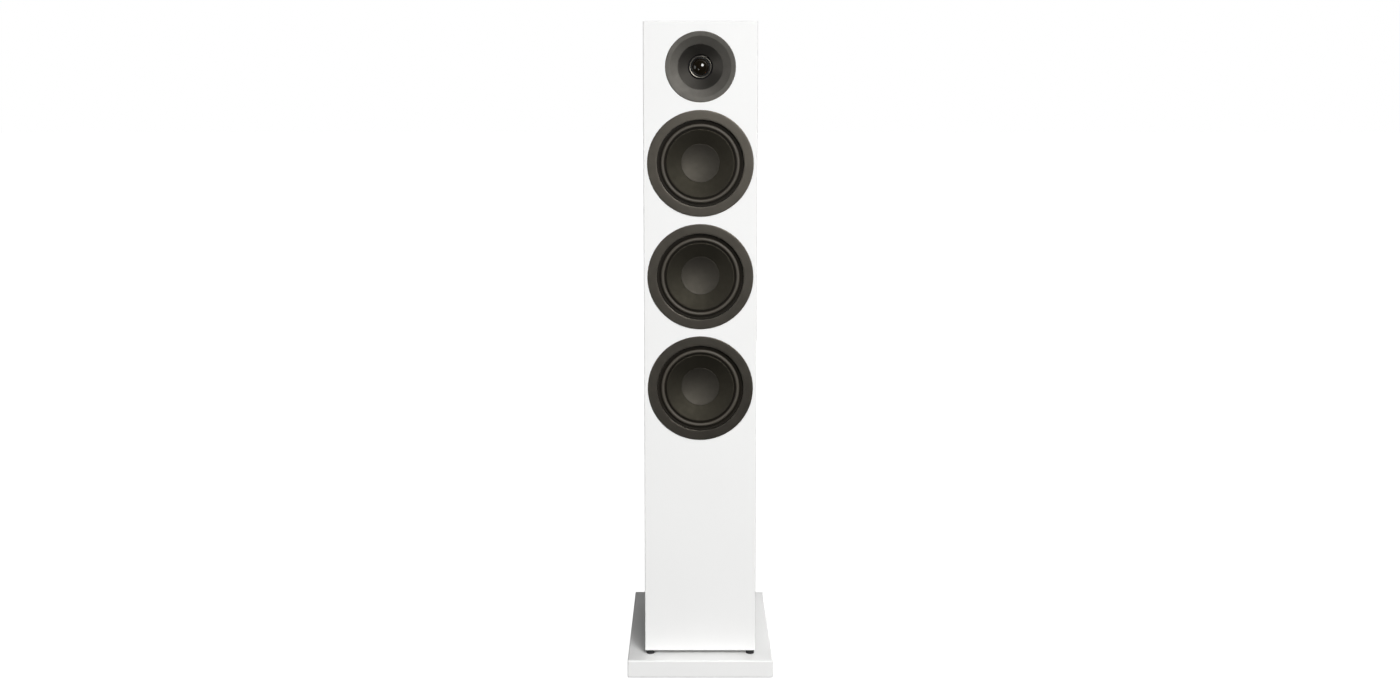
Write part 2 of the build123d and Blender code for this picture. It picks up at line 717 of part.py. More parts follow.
def make_faceplate():
    """Inner horn of the waveguide and the flange that the tweeter is screwed on by."""
    flange = FLARE_RADIUS - 0.5
    horn = FLARE_INNER_RADIUS - 0.2
    foot = THROAT_RADIUS + 4.7
    outline = [
        straight((flange, FACEPLATE_FRONT), (horn, FACEPLATE_FRONT)),
        straight((horn, FACEPLATE_FRONT), (horn, -6.6)),
        straight((horn, -6.6), (horn - 0.7, -6.3)),
        arc((horn - 0.7, -6.3), (28.4, -12.5), (THROAT_RADIUS, THROAT_Z)),
        straight((THROAT_RADIUS, THROAT_Z), (THROAT_RADIUS, TWEETER_PLATE_Z)),
        straight((THROAT_RADIUS, TWEETER_PLATE_Z), (foot, TWEETER_PLATE_Z)),
        straight((foot, TWEETER_PLATE_Z), (foot, TWEETER_PLATE_Z + 2.5)),
        straight((foot, TWEETER_PLATE_Z + 2.5), (horn + 1, FACEPLATE_BACK)),
        straight((horn + 1, FACEPLATE_BACK), (flange, FACEPLATE_BACK)),
        straight((flange, FACEPLATE_BACK), (flange, FACEPLATE_FRONT)),
    ]
    plate = turned(*outline)
    for place in tweeter_screw_places():
        plate -= place * Pos(0, 0, FACEPLATE_FRONT) * tweeter_screw(SCREW_FIT)
    return plate


def tweeter_screw(room=0.0):
    shank = TWEETER_SCREW_SHANK + room
    return countersunk_screw(shank, 2 * TWEETER_SCREW_SHANK + room, 1.8, TWEETER_SCREW_LENGTH)


def make_tweeter_gasket():
    back = FACEPLATE_BACK - TWEETER_GASKET
    gasket = ring(TWEETER_HOLE_RADIUS + 0.5, FLARE_RADIUS - 1, back, FACEPLATE_BACK)
    for place in tweeter_screw_places():
        gasket -= place * disc(TWEETER_SCREW_SHANK + SCREW_FIT, back - 1, FACEPLATE_BACK + 1)
    return gasket


def make_clamp_ring():
    """Bright ring that holds the tweeter's surround down, with a chamfered front."""
    return turned_outline(
        (CLAMP_INNER_RADIUS, TWEETER_FOOT_TOP),
        (CLAMP_OUTER_RADIUS, TWEETER_FOOT_TOP),
        (CLAMP_OUTER_RADIUS, CLAMP_FRONT - 0.3),
        (CLAMP_OUTER_RADIUS - 0.4, CLAMP_FRONT),
        (CLAMP_OUTER_RADIUS - 1.0, CLAMP_FRONT),
        (CLAMP_INNER_RADIUS, CLAMP_FRONT - 0.9),
    )


def make_tweeter_surround():
    """Tiny half roll between the dome's edge and the foot under the clamp ring."""
    foot_outer = CLAMP_OUTER_RADIUS - 0.1
    roll_outer = 15.8
    roll_inner = DOME_RADIUS + 0.2
    middle = (roll_outer + roll_inner) / 2
    thickness = 0.35
    return turned(
        straight((foot_outer, TWEETER_PLATE_Z), (foot_outer, TWEETER_FOOT_TOP)),
        straight((foot_outer, TWEETER_FOOT_TOP), (roll_outer, TWEETER_FOOT_TOP)),
        arc(
            (roll_outer, TWEETER_FOOT_TOP),
            (middle, TWEETER_FOOT_TOP + 1.3),
            (roll_inner, TWEETER_FOOT_TOP),
        ),
        straight((roll_inner, TWEETER_FOOT_TOP), (roll_inner + thickness, TWEETER_PLATE_Z)),
        arc(
            (roll_inner + thickness, TWEETER_PLATE_Z),
            (middle, TWEETER_PLATE_Z + 1.3),
            (roll_outer - thickness, TWEETER_PLATE_Z),
        ),
        straight((roll_outer - thickness, TWEETER_PLATE_Z), (foot_outer, TWEETER_PLATE_Z)),
    )


def make_dome():
    """Convex dome, a thin spherical shell."""
    return spherical_shell(DOME_RADIUS, DOME_BASE_Z, DOME_HEIGHT, DOME_THICKNESS)


def make_tweeter_coil():
    former_inner = 12.75
    former_outer = 12.95
    winding = 13.5
    top = DOME_BASE_Z - DOME_THICKNESS
    return turned_outline(
        (former_inner, -27.0),
        (winding, -27.0),
        (winding, -20.8),
        (former_outer, -20.8),
        (former_outer, top),
        (former_inner, top),
    )


def make_tweeter_terminals():
    half = BLADE_OFFSET + 4
    board = block((-7, -half, TWEETER_TERMINAL_BACK), (7, half, TWEETER_TERMINAL_FRONT))
    return [board] + solder_blades(0, TWEETER_TERMINAL_BACK)


# ---------------------------------------------------------------- rear fittings

def make_port():
    """Reflex port: flared at both ends, its flange let into the rear panel."""
    diagonal = math.sqrt(0.5)
    bore_front = PORT_FLANGE_FRONT - PORT_FLARE
    bore_back = -PORT_LENGTH + PORT_INNER_FLARE
    mouth = PORT_RADIUS + PORT_FLARE
    tail = PORT_RADIUS + PORT_INNER_FLARE
    outer = PORT_RADIUS + PORT_WALL

    def corner(centre, radius, sign):
        return (centre[0] - radius * diagonal, centre[1] + sign * radius * diagonal)

    mouth_centre = (mouth, bore_front)
    tail_centre = (tail, bore_back)
    mouth_back = PORT_FLARE - PORT_WALL
    tail_back = PORT_INNER_FLARE - PORT_WALL
    return turned(
        straight((PORT_FLANGE_RADIUS, PORT_FLANGE_FRONT), (mouth, PORT_FLANGE_FRONT)),
        arc((mouth, PORT_FLANGE_FRONT), corner(mouth_centre, PORT_FLARE, 1), (PORT_RADIUS, bore_front)),
        straight((PORT_RADIUS, bore_front), (PORT_RADIUS, bore_back)),
        arc((PORT_RADIUS, bore_back), corner(tail_centre, PORT_INNER_FLARE, -1), (tail, -PORT_LENGTH)),
        straight((tail, -PORT_LENGTH), (tail, -PORT_LENGTH + PORT_WALL)),
        arc((tail, -PORT_LENGTH + PORT_WALL), corner(tail_centre, tail_back, -1), (outer, bore_back)),
        straight((outer, bore_back), (outer, bore_front)),
        arc((outer, bore_front), corner(mouth_centre, mouth_back, 1), (mouth, PORT_FLANGE_BACK)),
        straight((mouth, PORT_FLANGE_BACK), (PORT_FLANGE_RADIUS, PORT_FLANGE_BACK)),
        straight((PORT_FLANGE_RADIUS, PORT_FLANGE_BACK), (PORT_FLANGE_RADIUS, PORT_FLANGE_FRONT)),
    )


def make_terminal_plate():
    """Moulded square plate with two insulating bosses for the posts."""
    side = TERMINAL_PLATE_SIZE
    plate = Pos(0, 0, TERMINAL_PLATE_BACK) * extrude(
        RectangleRounded(side, side, 6), TERMINAL_PLATE_FRONT - TERMINAL_PLATE_BACK
    )
    for place in POST_PLACES.values():
        plate += place * disc(BOSS_RADIUS, TERMINAL_PLATE_BACK, BOSS_FRONT)
    for place in POST_PLACES.values():
        plate -= place * disc(STUD_RADIUS + SCREW_FIT, TERMINAL_PLATE_BACK - 1, BOSS_FRONT + 1)
    for place in terminal_screw_places():
        plate -= place * terminal_screw(SCREW_FIT)
    return plate


def terminal_screw(room=0.0):
    shank = TERMINAL_SCREW_SHANK + room
    return countersunk_screw(shank, 2 * TERMINAL_SCREW_SHANK + room, 2.0, TERMINAL_SCREW_LENGTH)


def make_stud():
    """Binding post: threaded stud with a plug socket in its tip, a wire hole and a hex shoulder."""
    stud = disc(STUD_RADIUS, STUD_TAIL, STUD_TIP)
    hexagon = extrude(RegularPolygon(STUD_HEX_RADIUS, 6), TERMINAL_PLATE_BACK - STUD_HEX_BACK)
    stud += Pos(0, 0, STUD_HEX_BACK) * hexagon
    stud -= disc(SOCKET_RADIUS, STUD_TIP - SOCKET_DEPTH, STUD_TIP + 1)
    wire_hole = Pos(0, 0, WIRE_HOLE_Z) * Rot(90, 0, 0) * Cylinder(WIRE_HOLE_RADIUS, 3 * STUD_RADIUS)
    return stud - wire_hole


def make_washer():
    return ring(STUD_RADIUS + SCREW_FIT, WASHER_RADIUS, BOSS_FRONT, WASHER_FRONT)


def make_knob():
    """Fluted knob, threaded on the stud."""
    knob = turned_outline(
        (STUD_RADIUS + SCREW_FIT, WASHER_FRONT),
        (KNOB_RADIUS - 0.6, WASHER_FRONT),
        (KNOB_RADIUS, WASHER_FRONT + 0.6),
        (KNOB_RADIUS, KNOB_FRONT - 1.2),
        (KNOB_RADIUS - 1.2, KNOB_FRONT),
        (STUD_RADIUS + SCREW_FIT, KNOB_FRONT),
    )
    for place in circle_places(KNOB_RADIUS + 0.7, KNOB_FLUTES):
        knob -= place * disc(1.3, WASHER_FRONT + 3, KNOB_FRONT + 1)
    return knob


# ---------------------------------------------------------------- crossover and wiring

def make_board():
    half_x, half_y = BOARD_SIZE[0] / 2, BOARD_SIZE[1] / 2
    board = block(
        (-half_x, BOARD_MIDDLE_Y - half_y, BOARD_Z), (half_x, BOARD_MIDDLE_Y + half_y, BOARD_TOP_Z)
    )
    for x, y in STANDOFF_PLACES:
        board -= Pos(x, y, 0) * disc(STANDOFF_PIN_RADIUS + 0.1, BOARD_Z - 1, BOARD_TOP_Z + 1)
    return board


def make_standoff():
    """Snap-in board support: spacer, pin and retaining head in one piece."""
    return turned_outline(
        (0, FLOOR_PANEL_TOP_Z),
        (4.0, FLOOR_PANEL_TOP_Z),
        (4.0, BOARD_Z),
        (STANDOFF_PIN_RADIUS, BOARD_Z),
        (STANDOFF_PIN_RADIUS, BOARD_TOP_Z),
        (2.8, BOARD_TOP_Z),
        (1.8, BOARD_TOP_Z + 2.4),
        (0, BOARD_TOP_Z + 2.4),
    )


def make_coils():
    return group(
        Pos(x, y, BOARD_TOP_Z) * ring(COIL_HOLE_RADIUS, radius, 0, height)
        for x, y, radius, height in COILS
    )


def make_capacitors():
    return group(
        Pos(x, y, BOARD_TOP_Z + radius) * Rot(90, 0, 0) * Cylinder(radius, length)
        for x, y, radius, length in CAPACITORS
    )


def make_resistors():
    width, length, height = RESISTOR_SIZE
    return group(
        block(
            (x - width / 2, y - length / 2, BOARD_TOP_Z),
            (x + width / 2, y + length / 2, BOARD_TOP_Z + height),
        )
        for x, y in RESISTORS
    )


def lead(points, bends):
    """Round wire along straight runs joined by arcs."""
    path = FilletPolyline(*points, radius=bends)
    start = Plane(path @ 0, z_dir=path % 0)
    wire = sweep(start * Circle(LEAD_RADIUS), path=path)
    expected = math.pi * LEAD_RADIUS**2 * path.length
    print("lead", round(path.length, 1), "mm, volume ratio", round(wire.volume / expected, 4))
    return wire


def make_leads():
    """Hook-up wires: two from the posts to the board, and a pair from the board to each driver."""
    wires = []
    drivers = [*reversed(WOOFERS), "tweeter"]
    for name, riser_x in zip(drivers, RISER_X):
        is_woofer = name in WOOFERS
        end_x = -BLADE_AXIS_RADIUS if is_woofer else 0.0
        back = TERMINAL_BOARD_BACK if is_woofer else TWEETER_TERMINAL_BACK
        end_y = FRONT_Y - back + BLADE_LENGTH
        middle_z = DRIVER_PLACES[name].position.Z
        for sign, riser_y in RISER_Y.items():
            level = middle_z + sign * BLADE_OFFSET
            points = [
                (riser_x, riser_y, BOARD_TOP_Z),
                (riser_x, riser_y, level),
                (end_x, end_y + 45, level),
                (end_x, end_y, level),
            ]
            wires.append(lead(points, [LEAD_BEND, LEAD_BEND * 2]))
    for place in POST_PLACES.values():
        x = place.position.X
        tail_y = REAR_Y + STUD_TAIL
        points = [
            (x, tail_y, TERMINAL_HEIGHT),
            (x, tail_y - 14, TERMINAL_HEIGHT),
            (x, tail_y - 14, BOARD_TOP_Z),
        ]
        wires.append(lead(points, [11.0]))
    return group(wires)


# ---------------------------------------------------------------- assembly


def build_cabinet():
    keep("front_baffle", make_baffle())
    keep("rear_panel", make_rear_panel())
    keep("left_side_panel", make_side(-1))
    keep("right_side_panel", make_side(1))
    keep("top_panel", inner_board(TOP_PANEL_UNDER_Z, CABINET_TOP_Z))
    keep("bottom_panel", make_bottom_panel())
    keep("window_braces", group(make_brace(z) for z in BRACE_HEIGHTS))
    keep("damping_pads", make_damping_pads())


def build_plinth():
    keep("plinth", make_plinth())
    spacer = disc(SPACER_RADIUS, PLINTH_TOP_Z, CABINET_BOTTOM_Z)
    spacer_places = plinth_corner_places(SPACER_INSET)
    keep("plinth_spacers", group(Pos(x, y, 0) * spacer for x, y in spacer_places))
    shoulder_z = PLINTH_BOTTOM_Z + BOLT_HEAD_POCKET
    bolt = make_bolt()
    keep("plinth_bolts", group(Pos(x, y, shoulder_z) * bolt for x, y in BOLT_PLACES))
    insert = ring(
        BOLT_RADIUS + SCREW_FIT, INSERT_RADIUS, CABINET_BOTTOM_Z, CABINET_BOTTOM_Z + INSERT_LENGTH
    )
    keep("threaded_inserts", group(Pos(x, y, 0) * insert for x, y in BOLT_PLACES))
    foot = make_foot()
    foot_places = plinth_corner_places(FOOT_INSET)
    keep("rubber_feet", group(Pos(x, y, 0) * foot for x, y in foot_places))


def build_woofers():
    pieces = {
        "trim_ring": make_trim_ring(),
        "basket": make_basket(),
        "surround": make_woofer_surround(),
        "cone": make_cone(),
        "dust_cap": make_dust_cap(),
        "voice_coil": make_woofer_coil(),
        "spider": make_spider(),
    }
    for name in WOOFERS:
        number = name.rsplit("_", 1)[1]
        for piece, shape in pieces.items():
            keep(f"woofer_{piece}_{number}", DRIVER_PLACES[name] * shape)


def build_tweeter():
    pieces = {
        "flare": make_flare(),
        "faceplate": make_faceplate(),
        "clamp_ring": make_clamp_ring(),
        "surround": make_tweeter_surround(),
        "dome": make_dome(),
        "voice_coil": make_tweeter_coil(),
    }
    for piece, shape in pieces.items():
        keep(f"tweeter_{piece}", DRIVER_PLACES["tweeter"] * shape)


def build_driver_hardware():
    """What the four drivers share by kind: each node holds one set per driver."""
    tweeter = DRIVER_PLACES["tweeter"]
    woofers = [DRIVER_PLACES[name] for name in WOOFERS]

    def each(woofer_shape, tweeter_shape):
        return group([*(place * woofer_shape for place in woofers), tweeter * tweeter_shape])

    keep("driver_top_plates", each(ring(18.6, 46, TOP_PLATE_BACK, BASKET_BACK), ring(14.2, 36, -24, -20)))
    keep("driver_magnets", each(ring(24, 50, MAGNET_BACK, TOP_PLATE_BACK), ring(17, 34, -34, -24)))
    keep(
        "driver_yokes",
        each(
            make_yoke(47, POLE_RADIUS, 7, POLE_FRONT, MAGNET_BACK, YOKE_BACK),
            make_yoke(33, 12.2, 3, -20.2, -34, -38),
        ),
    )
    keep("driver_gaskets", each(make_woofer_gasket(), make_tweeter_gasket()))
    woofer_screws = [p * Pos(0, 0, FLANGE_FRONT) * woofer_screw() for p in woofer_screw_places()]
    tweeter_screws = [p * Pos(0, 0, FACEPLATE_FRONT) * tweeter_screw() for p in tweeter_screw_places()]
    screws = [place * screw for place in woofers for screw in woofer_screws]
    keep("driver_screws", group(screws + [tweeter * screw for screw in tweeter_screws]))
    terminals = [place * part for place in woofers for part in make_woofer_terminals()]
    keep("driver_terminals", group(terminals + [tweeter * part for part in make_tweeter_terminals()]))


def build_rear():
    keep("reflex_port", PORT_PLACE * make_port())
    keep("terminal_plate", TERMINAL_PLACE * make_terminal_plate())
    screw = terminal_screw()
    keep("terminal_screws", group(TERMINAL_PLACE * p * screw for p in terminal_screw_places()))
    keep("post_studs", group(TERMINAL_PLACE * place * make_stud() for place in POST_PLACES.values()))
    for colour, place in POST_PLACES.items():
        keep(f"clamp_washer_{colour}", TERMINAL_PLACE * place * make_washer())
        keep(f"knob_{colour}", TERMINAL_PLACE * place * make_knob())


def build_crossover():
    keep("crossover_board", make_board())
    keep("crossover_coils", make_coils())
    keep("crossover_capacitors", make_capacitors())
    keep("crossover_resistors", make_resistors())
    standoff = make_standoff()
    keep("board_standoffs", group(Pos(x, y, 0) * standoff for x, y in STANDOFF_PLACES))
    keep("hookup_leads", make_leads())


def main():
    build_cabinet()
    build_plinth()
    build_woofers()
    build_tweeter()
    build_driver_hardware()
    build_rear()
    build_crossover()
    os.makedirs("parts", exist_ok=True)
    for name, shape in NODES.items():
        export_step(shape, f"parts/{name}.step")
    print(len(NODES), "nodes written")


main()
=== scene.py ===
"""Looks of a floorstanding loudspeaker: white lacquer, dark metallic drivers, soft parts, light and camera.

Every piece is in metres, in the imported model's frame: +Z up, -Y the listening side, origin on the floor.
"""

import math

import bpy
import numpy as np
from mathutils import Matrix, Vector


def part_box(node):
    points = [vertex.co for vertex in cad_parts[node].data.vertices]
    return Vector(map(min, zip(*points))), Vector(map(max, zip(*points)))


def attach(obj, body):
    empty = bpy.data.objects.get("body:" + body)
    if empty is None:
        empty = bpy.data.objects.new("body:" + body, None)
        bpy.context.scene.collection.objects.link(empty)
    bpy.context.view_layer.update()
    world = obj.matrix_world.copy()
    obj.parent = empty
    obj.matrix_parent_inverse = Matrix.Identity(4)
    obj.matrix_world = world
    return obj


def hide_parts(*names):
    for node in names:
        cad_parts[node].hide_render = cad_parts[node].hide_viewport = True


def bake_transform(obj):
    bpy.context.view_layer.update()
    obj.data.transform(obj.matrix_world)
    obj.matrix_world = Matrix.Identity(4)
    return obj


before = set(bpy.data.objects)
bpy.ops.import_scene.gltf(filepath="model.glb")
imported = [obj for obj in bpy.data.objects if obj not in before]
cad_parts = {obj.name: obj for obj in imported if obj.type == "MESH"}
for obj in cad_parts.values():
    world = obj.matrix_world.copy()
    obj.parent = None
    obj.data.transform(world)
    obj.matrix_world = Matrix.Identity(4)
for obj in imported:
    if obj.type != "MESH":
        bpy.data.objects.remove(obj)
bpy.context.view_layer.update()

bl_info = {
    "name": "Floorstanding speaker",
    "version": (1, 0, 0),
    "blender": (4, 5, 0),
    "location": "3D View > Sidebar > Speaker",
    "description": "Builds the looks of a column loudspeaker around its packed model",
    "category": "Object",
}

MM = 0.001
TURN = 2 * math.pi
WOOFERS = ("1", "2", "3")
FRAME_BODY = "cabinet"
ROUND_SEGMENTS = 192  # round a woofer or the waveguide
SMALL_SEGMENTS = 128  # round the tweeter's dome
CREASE = math.radians(38)  # faces that meet at more than this keep a crisp edge

# ---------------------------------------------------------------- colours and numpy helpers


def linear(hex_colour):
    """An sRGB hex value as linear red, green and blue."""
    srgb = np.array([int(hex_colour[i : i + 2], 16) for i in (1, 3, 5)]) / 255
    low = srgb / 12.92
    high = ((srgb + 0.055) / 1.055) ** 2.4
    return tuple(float(v) for v in np.where(srgb <= 0.04045, low, high))


def rgba(colour):
    """A linear colour with full alpha."""
    return (*tuple(colour)[:3], 1.0)


def node_box(node):
    """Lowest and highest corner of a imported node, as arrays."""
    low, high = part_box(node)
    return np.array(low), np.array(high)


def node_middle(node):
    low, high = node_box(node)
    return (low + high) / 2


def smooth_outline(corners, steps=6):
    """Closed chain of (radius, height, fillet) corners in mm, each corner cut by a tangent arc.

    Between the tangent points a and b of a corner p, the arc is the quadratic
    (1-t)^2 a + 2 t (1-t) p + t^2 b, which leaves both straight stretches without a kink.
    """
    points = np.array([c[:2] for c in corners], float)
    radii = np.array([c[2] if len(c) > 2 else 0.0 for c in corners])
    back = np.roll(points, 1, axis=0) - points
    ahead = np.roll(points, -1, axis=0) - points
    back_length = np.linalg.norm(back, axis=1)
    ahead_length = np.linalg.norm(ahead, axis=1)
    cosine = (back * ahead).sum(1) / (back_length * ahead_length)
    half_angle = np.arccos(np.clip(cosine, -1, 1)) / 2
    reach = radii / np.tan(np.maximum(half_angle, 1e-6))
    reach = np.minimum(reach, 0.49 * np.minimum(back_length, ahead_length))[:, None]
    start = points + back / back_length[:, None] * reach
    end = points + ahead / ahead_length[:, None] * reach
    t = np.linspace(0, 1, steps)[None, :, None]
    curve = (1 - t) ** 2 * start[:, None] + 2 * t * (1 - t) * points[:, None] + t**2 * end[:, None]
    flat = [curve[i] if radii[i] > 0 else points[i : i + 1] for i in range(len(points))]
    return np.concatenate(flat)


def arc_points(centre, radius, first_degrees, last_degrees, steps):
    """Points (radius, height) on a circle, by cosine and sine of an even run of angles."""
    angle = np.radians(np.linspace(first_degrees, last_degrees, steps))
    return np.stack([centre[0] + radius * np.cos(angle), centre[1] + radius * np.sin(angle)], 1)


def dish_points(radius, rim, rise, steps):
    """Spherical cap from its apex to its rim, on a sphere of radius R.

    The height at radius r is rim + rise, less R - sqrt(R^2 - r^2) with the sign of rise.
    """
    sphere = (radius**2 + rise**2) / (2 * abs(rise))
    r = np.linspace(0, radius, steps)
    drop = sphere - np.sqrt(sphere**2 - r**2)
    return np.stack([r, rim + rise - math.copysign(1, rise) * drop], 1)


def finer(points, longest):
    """The same closed chain with each stretch longer than longest divided evenly."""
    ahead = np.roll(points, -1, axis=0)
    counts = np.maximum(1, np.ceil(np.linalg.norm(ahead - points, axis=1) / longest)).astype(int)
    which = np.repeat(np.arange(len(points)), counts)
    step = np.arange(counts.sum()) - np.repeat(np.cumsum(counts) - counts, counts)
    t = (step / counts[which])[:, None]
    return points[which] * (1 - t) + ahead[which] * t


def without_loose(count, faces):
    """Which of count points the faces use, and the faces renumbered to those points alone."""
    used = np.unique(np.concatenate([np.ravel(face) for face in faces]))
    renumber = np.zeros(count, int)
    renumber[used] = np.arange(len(used))
    return used, [[int(renumber[i]) for i in face] for face in faces]


def link_mesh(name, vertices, faces, uvs=None):
    """Makes an object from a vertex array and a face list, smooth but for its creases."""
    mesh = bpy.data.meshes.new(name)
    mesh.from_pydata(vertices.reshape(-1, 3).tolist(), [], faces)
    if uvs is not None:
        layer = mesh.uv_layers.new(name="UVMap")
        corner = np.zeros(len(mesh.loops), int)
        mesh.loops.foreach_get("vertex_index", corner)
        layer.data.foreach_set("uv", uvs[corner].astype(np.float32).ravel())
    mesh.polygons.foreach_set("use_smooth", np.ones(len(mesh.polygons), bool))
    mesh.validate()
    mesh.set_sharp_from_angle(angle=CREASE)
    piece = bpy.data.objects.new(name, mesh)
    bpy.context.scene.collection.objects.link(piece)
    return piece


def turned_piece(name, outline_mm, axis_point, segments=ROUND_SEGMENTS):
    """Closed outline (radius, height) carried round an axis that points at the listener.

    A vertex is axis + (r cos a, -h, r sin a). Outline points on the axis become one pole vertex each.
    The outline runs anticlockwise with radius to the right and height up, so faces point outwards.
    """
    outline = np.asarray(outline_mm, float) * MM
    following = np.roll(outline, -1, axis=0)
    twice_area = (outline[:, 0] * following[:, 1] - following[:, 0] * outline[:, 1]).sum()
    if twice_area < 0:
        outline = outline[::-1]
    on_axis = outline[:, 0] < 1e-9
    angle = np.arange(segments) / segments * TURN
    radius, height = outline[:, 0][:, None], outline[:, 1][:, None]
    grid = np.stack(
        [
            axis_point[0] + radius * np.cos(angle),
            np.broadcast_to(axis_point[1] - height, (len(outline), segments)),
            axis_point[2] + radius * np.sin(angle),
        ],
        2,
    )
    index = np.arange(len(outline) * segments).reshape(len(outline), segments)
    index[on_axis] = index[on_axis][:, :1]
    ahead = np.roll(index, -1, axis=0)
    quads = np.stack([index, np.roll(index, -1, axis=1), np.roll(ahead, -1, axis=1), ahead], 2)
    faces = []
    for row, (at_pole, next_pole) in enumerate(zip(on_axis, np.roll(on_axis, -1))):
        if at_pole and next_pole:
            continue
        keep = [0, 2, 3] if at_pole else [0, 1, 2] if next_pole else [0, 1, 2, 3]
        faces += quads[row][:, keep].tolist()
    length = np.concatenate([[0], np.cumsum(np.linalg.norm(np.diff(outline, axis=0), axis=1))])
    around = np.broadcast_to(np.abs(np.arange(segments) / segments - 0.5) * TURN, grid.shape[:2])
    uvs = np.stack([around * outline[:, 0].max(), np.broadcast_to(length[:, None], grid.shape[:2])], 2)
    used, faces = without_loose(index.size, faces)
    return link_mesh(name, grid.reshape(-1, 3)[used], faces, uvs.reshape(-1, 2)[used])


def bend_between(piece, axis_point):
    """A round soft part, between the cabinet outside and a moving body inside: its vertices are laid at
    (radius, 0, 0), the object's transform is baked, and they go back to their places.
    """
    mesh = piece.data
    places = np.zeros(len(mesh.vertices) * 3, np.float32)
    mesh.vertices.foreach_get("co", places)
    flat = np.zeros((len(mesh.vertices), 3), np.float32)
    spread = places.reshape(-1, 3) - np.array(axis_point, np.float32)
    flat[:, 0] = np.hypot(spread[:, 0], spread[:, 2])
    mesh.vertices.foreach_set("co", flat.ravel())
    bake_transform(piece)
    mesh.vertices.foreach_set("co", places)
    mesh.update()


# ---------------------------------------------------------------- materials


def add_node(tree, kind, settings=None, values=None, links=None):
    """Adds a node with its settings and socket values, and links sources to its inputs."""
    node = tree.nodes.new(kind)
    for key, value in (settings or {}).items():
        setattr(node, key, value)
    for key, value in (values or {}).items():
        node.inputs[key].default_value = value
    for key, source in (links or {}).items():
        tree.links.new(source, node.inputs[key])
    return node


def new_material(name, colour, roughness, **sockets):
    """A Principled material with its constants on the shader's own sockets."""
    material = bpy.data.materials.new(name)
    material.use_nodes = True
    tree = material.node_tree
    shader = tree.nodes["Principled BSDF"]
    shader.inputs["Base Color"].default_value = rgba(colour)
    shader.inputs["Roughness"].default_value = roughness
    for key, value in sockets.items():
        shader.inputs[key.replace("_", " ")].default_value = value
    return material, tree, shader


def speckle(tree, size_mm, detail=3.0, stretch=(1, 1, 1)):
    """Noise whose blotches are about size_mm across; stretch squeezes them along an axis."""
    place = add_node(tree, "ShaderNodeTexCoord")
    mapping = add_node(
        tree, "ShaderNodeMapping", values={"Scale": stretch}, links={"Vector": place.outputs["Object"]}
    )
    noise = add_node(
        tree,
        "ShaderNodeTexNoise",
        values={"Scale": 1 / (size_mm * MM), "Detail": detail},
        links={"Vector": mapping.outputs["Vector"]},
    )
    return noise.outputs["Fac"]


def bands(tree, spacing_mm, direction="X", coordinates="UV", distortion=0.0):
    """Sine bands spacing_mm apart. A wave texture of scale 1 repeats every TURN / 20 metres."""
    place = add_node(tree, "ShaderNodeTexCoord")
    wave = add_node(
        tree,
        "ShaderNodeTexWave",
        settings={"bands_direction": direction, "wave_profile": "SIN"},
        values={"Scale": TURN / (20 * spacing_mm * MM), "Distortion": distortion},
        links={"Vector": place.outputs[coordinates]},
    )
    return wave.outputs["Fac"]


def combine(tree, first, second, operation="MULTIPLY"):
    """One socket from two by a math node."""
    node = add_node(tree, "ShaderNodeMath", settings={"operation": operation})
    tree.links.new(first, node.inputs[0])
    tree.links.new(second, node.inputs[1])
    return node.outputs[0]


def raise_surface(tree, shader, height, depth_mm, strength=1.0):
    """Bump of depth_mm from a height between 0 and 1."""
    bump = add_node(
        tree,
        "ShaderNodeBump",
        values={"Distance": depth_mm * MM, "Strength": strength},
        links={"Height": height},
    )
    tree.links.new(bump.outputs["Normal"], shader.inputs["Normal"])


def vary_roughness(tree, shader, source, low, high):
    """Roughness from low to high as the source goes from 0.3 to 0.7."""
    spread = add_node(
        tree,
        "ShaderNodeMapRange",
        values={"From Min": 0.3, "From Max": 0.7, "To Min": low, "To Max": high},
        links={"Value": source},
    )
    tree.links.new(spread.outputs["Result"], shader.inputs["Roughness"])


def vary_colour(tree, shader, source, dark, light):
    """Base colour from dark to light as the source goes from 0.3 to 0.7."""
    ramp = add_node(tree, "ShaderNodeValToRGB", links={"Fac": source})
    ramp.color_ramp.elements[0].position = 0.3
    ramp.color_ramp.elements[0].color = rgba(dark)
    ramp.color_ramp.elements[1].position = 0.7
    ramp.color_ramp.elements[1].color = rgba(light)
    tree.links.new(ramp.outputs["Color"], shader.inputs["Base Color"])


def shade(colour, factor):
    """The colour made lighter or darker by a factor."""
    return tuple(min(1.0, channel * factor) for channel in tuple(colour)[:3])


def sprayed_lacquer(colour):
    """Sprayed satin polyurethane: even white with a faint orange peel that softens highlights."""
    material, tree, shader = new_material("sprayed_satin_lacquer", colour, 0.36, IOR=1.5)
    raise_surface(tree, shader, speckle(tree, 2.6, 2.0), 0.012, 0.5)
    vary_roughness(tree, shader, speckle(tree, 60.0, 3.0), 0.33, 0.40)
    vary_colour(tree, shader, speckle(tree, 140.0, 2.0), shade(colour, 0.992), colour)
    return material


SKIN_DEPTH = 0.001  # how deep the lacquer's white reaches, in metres


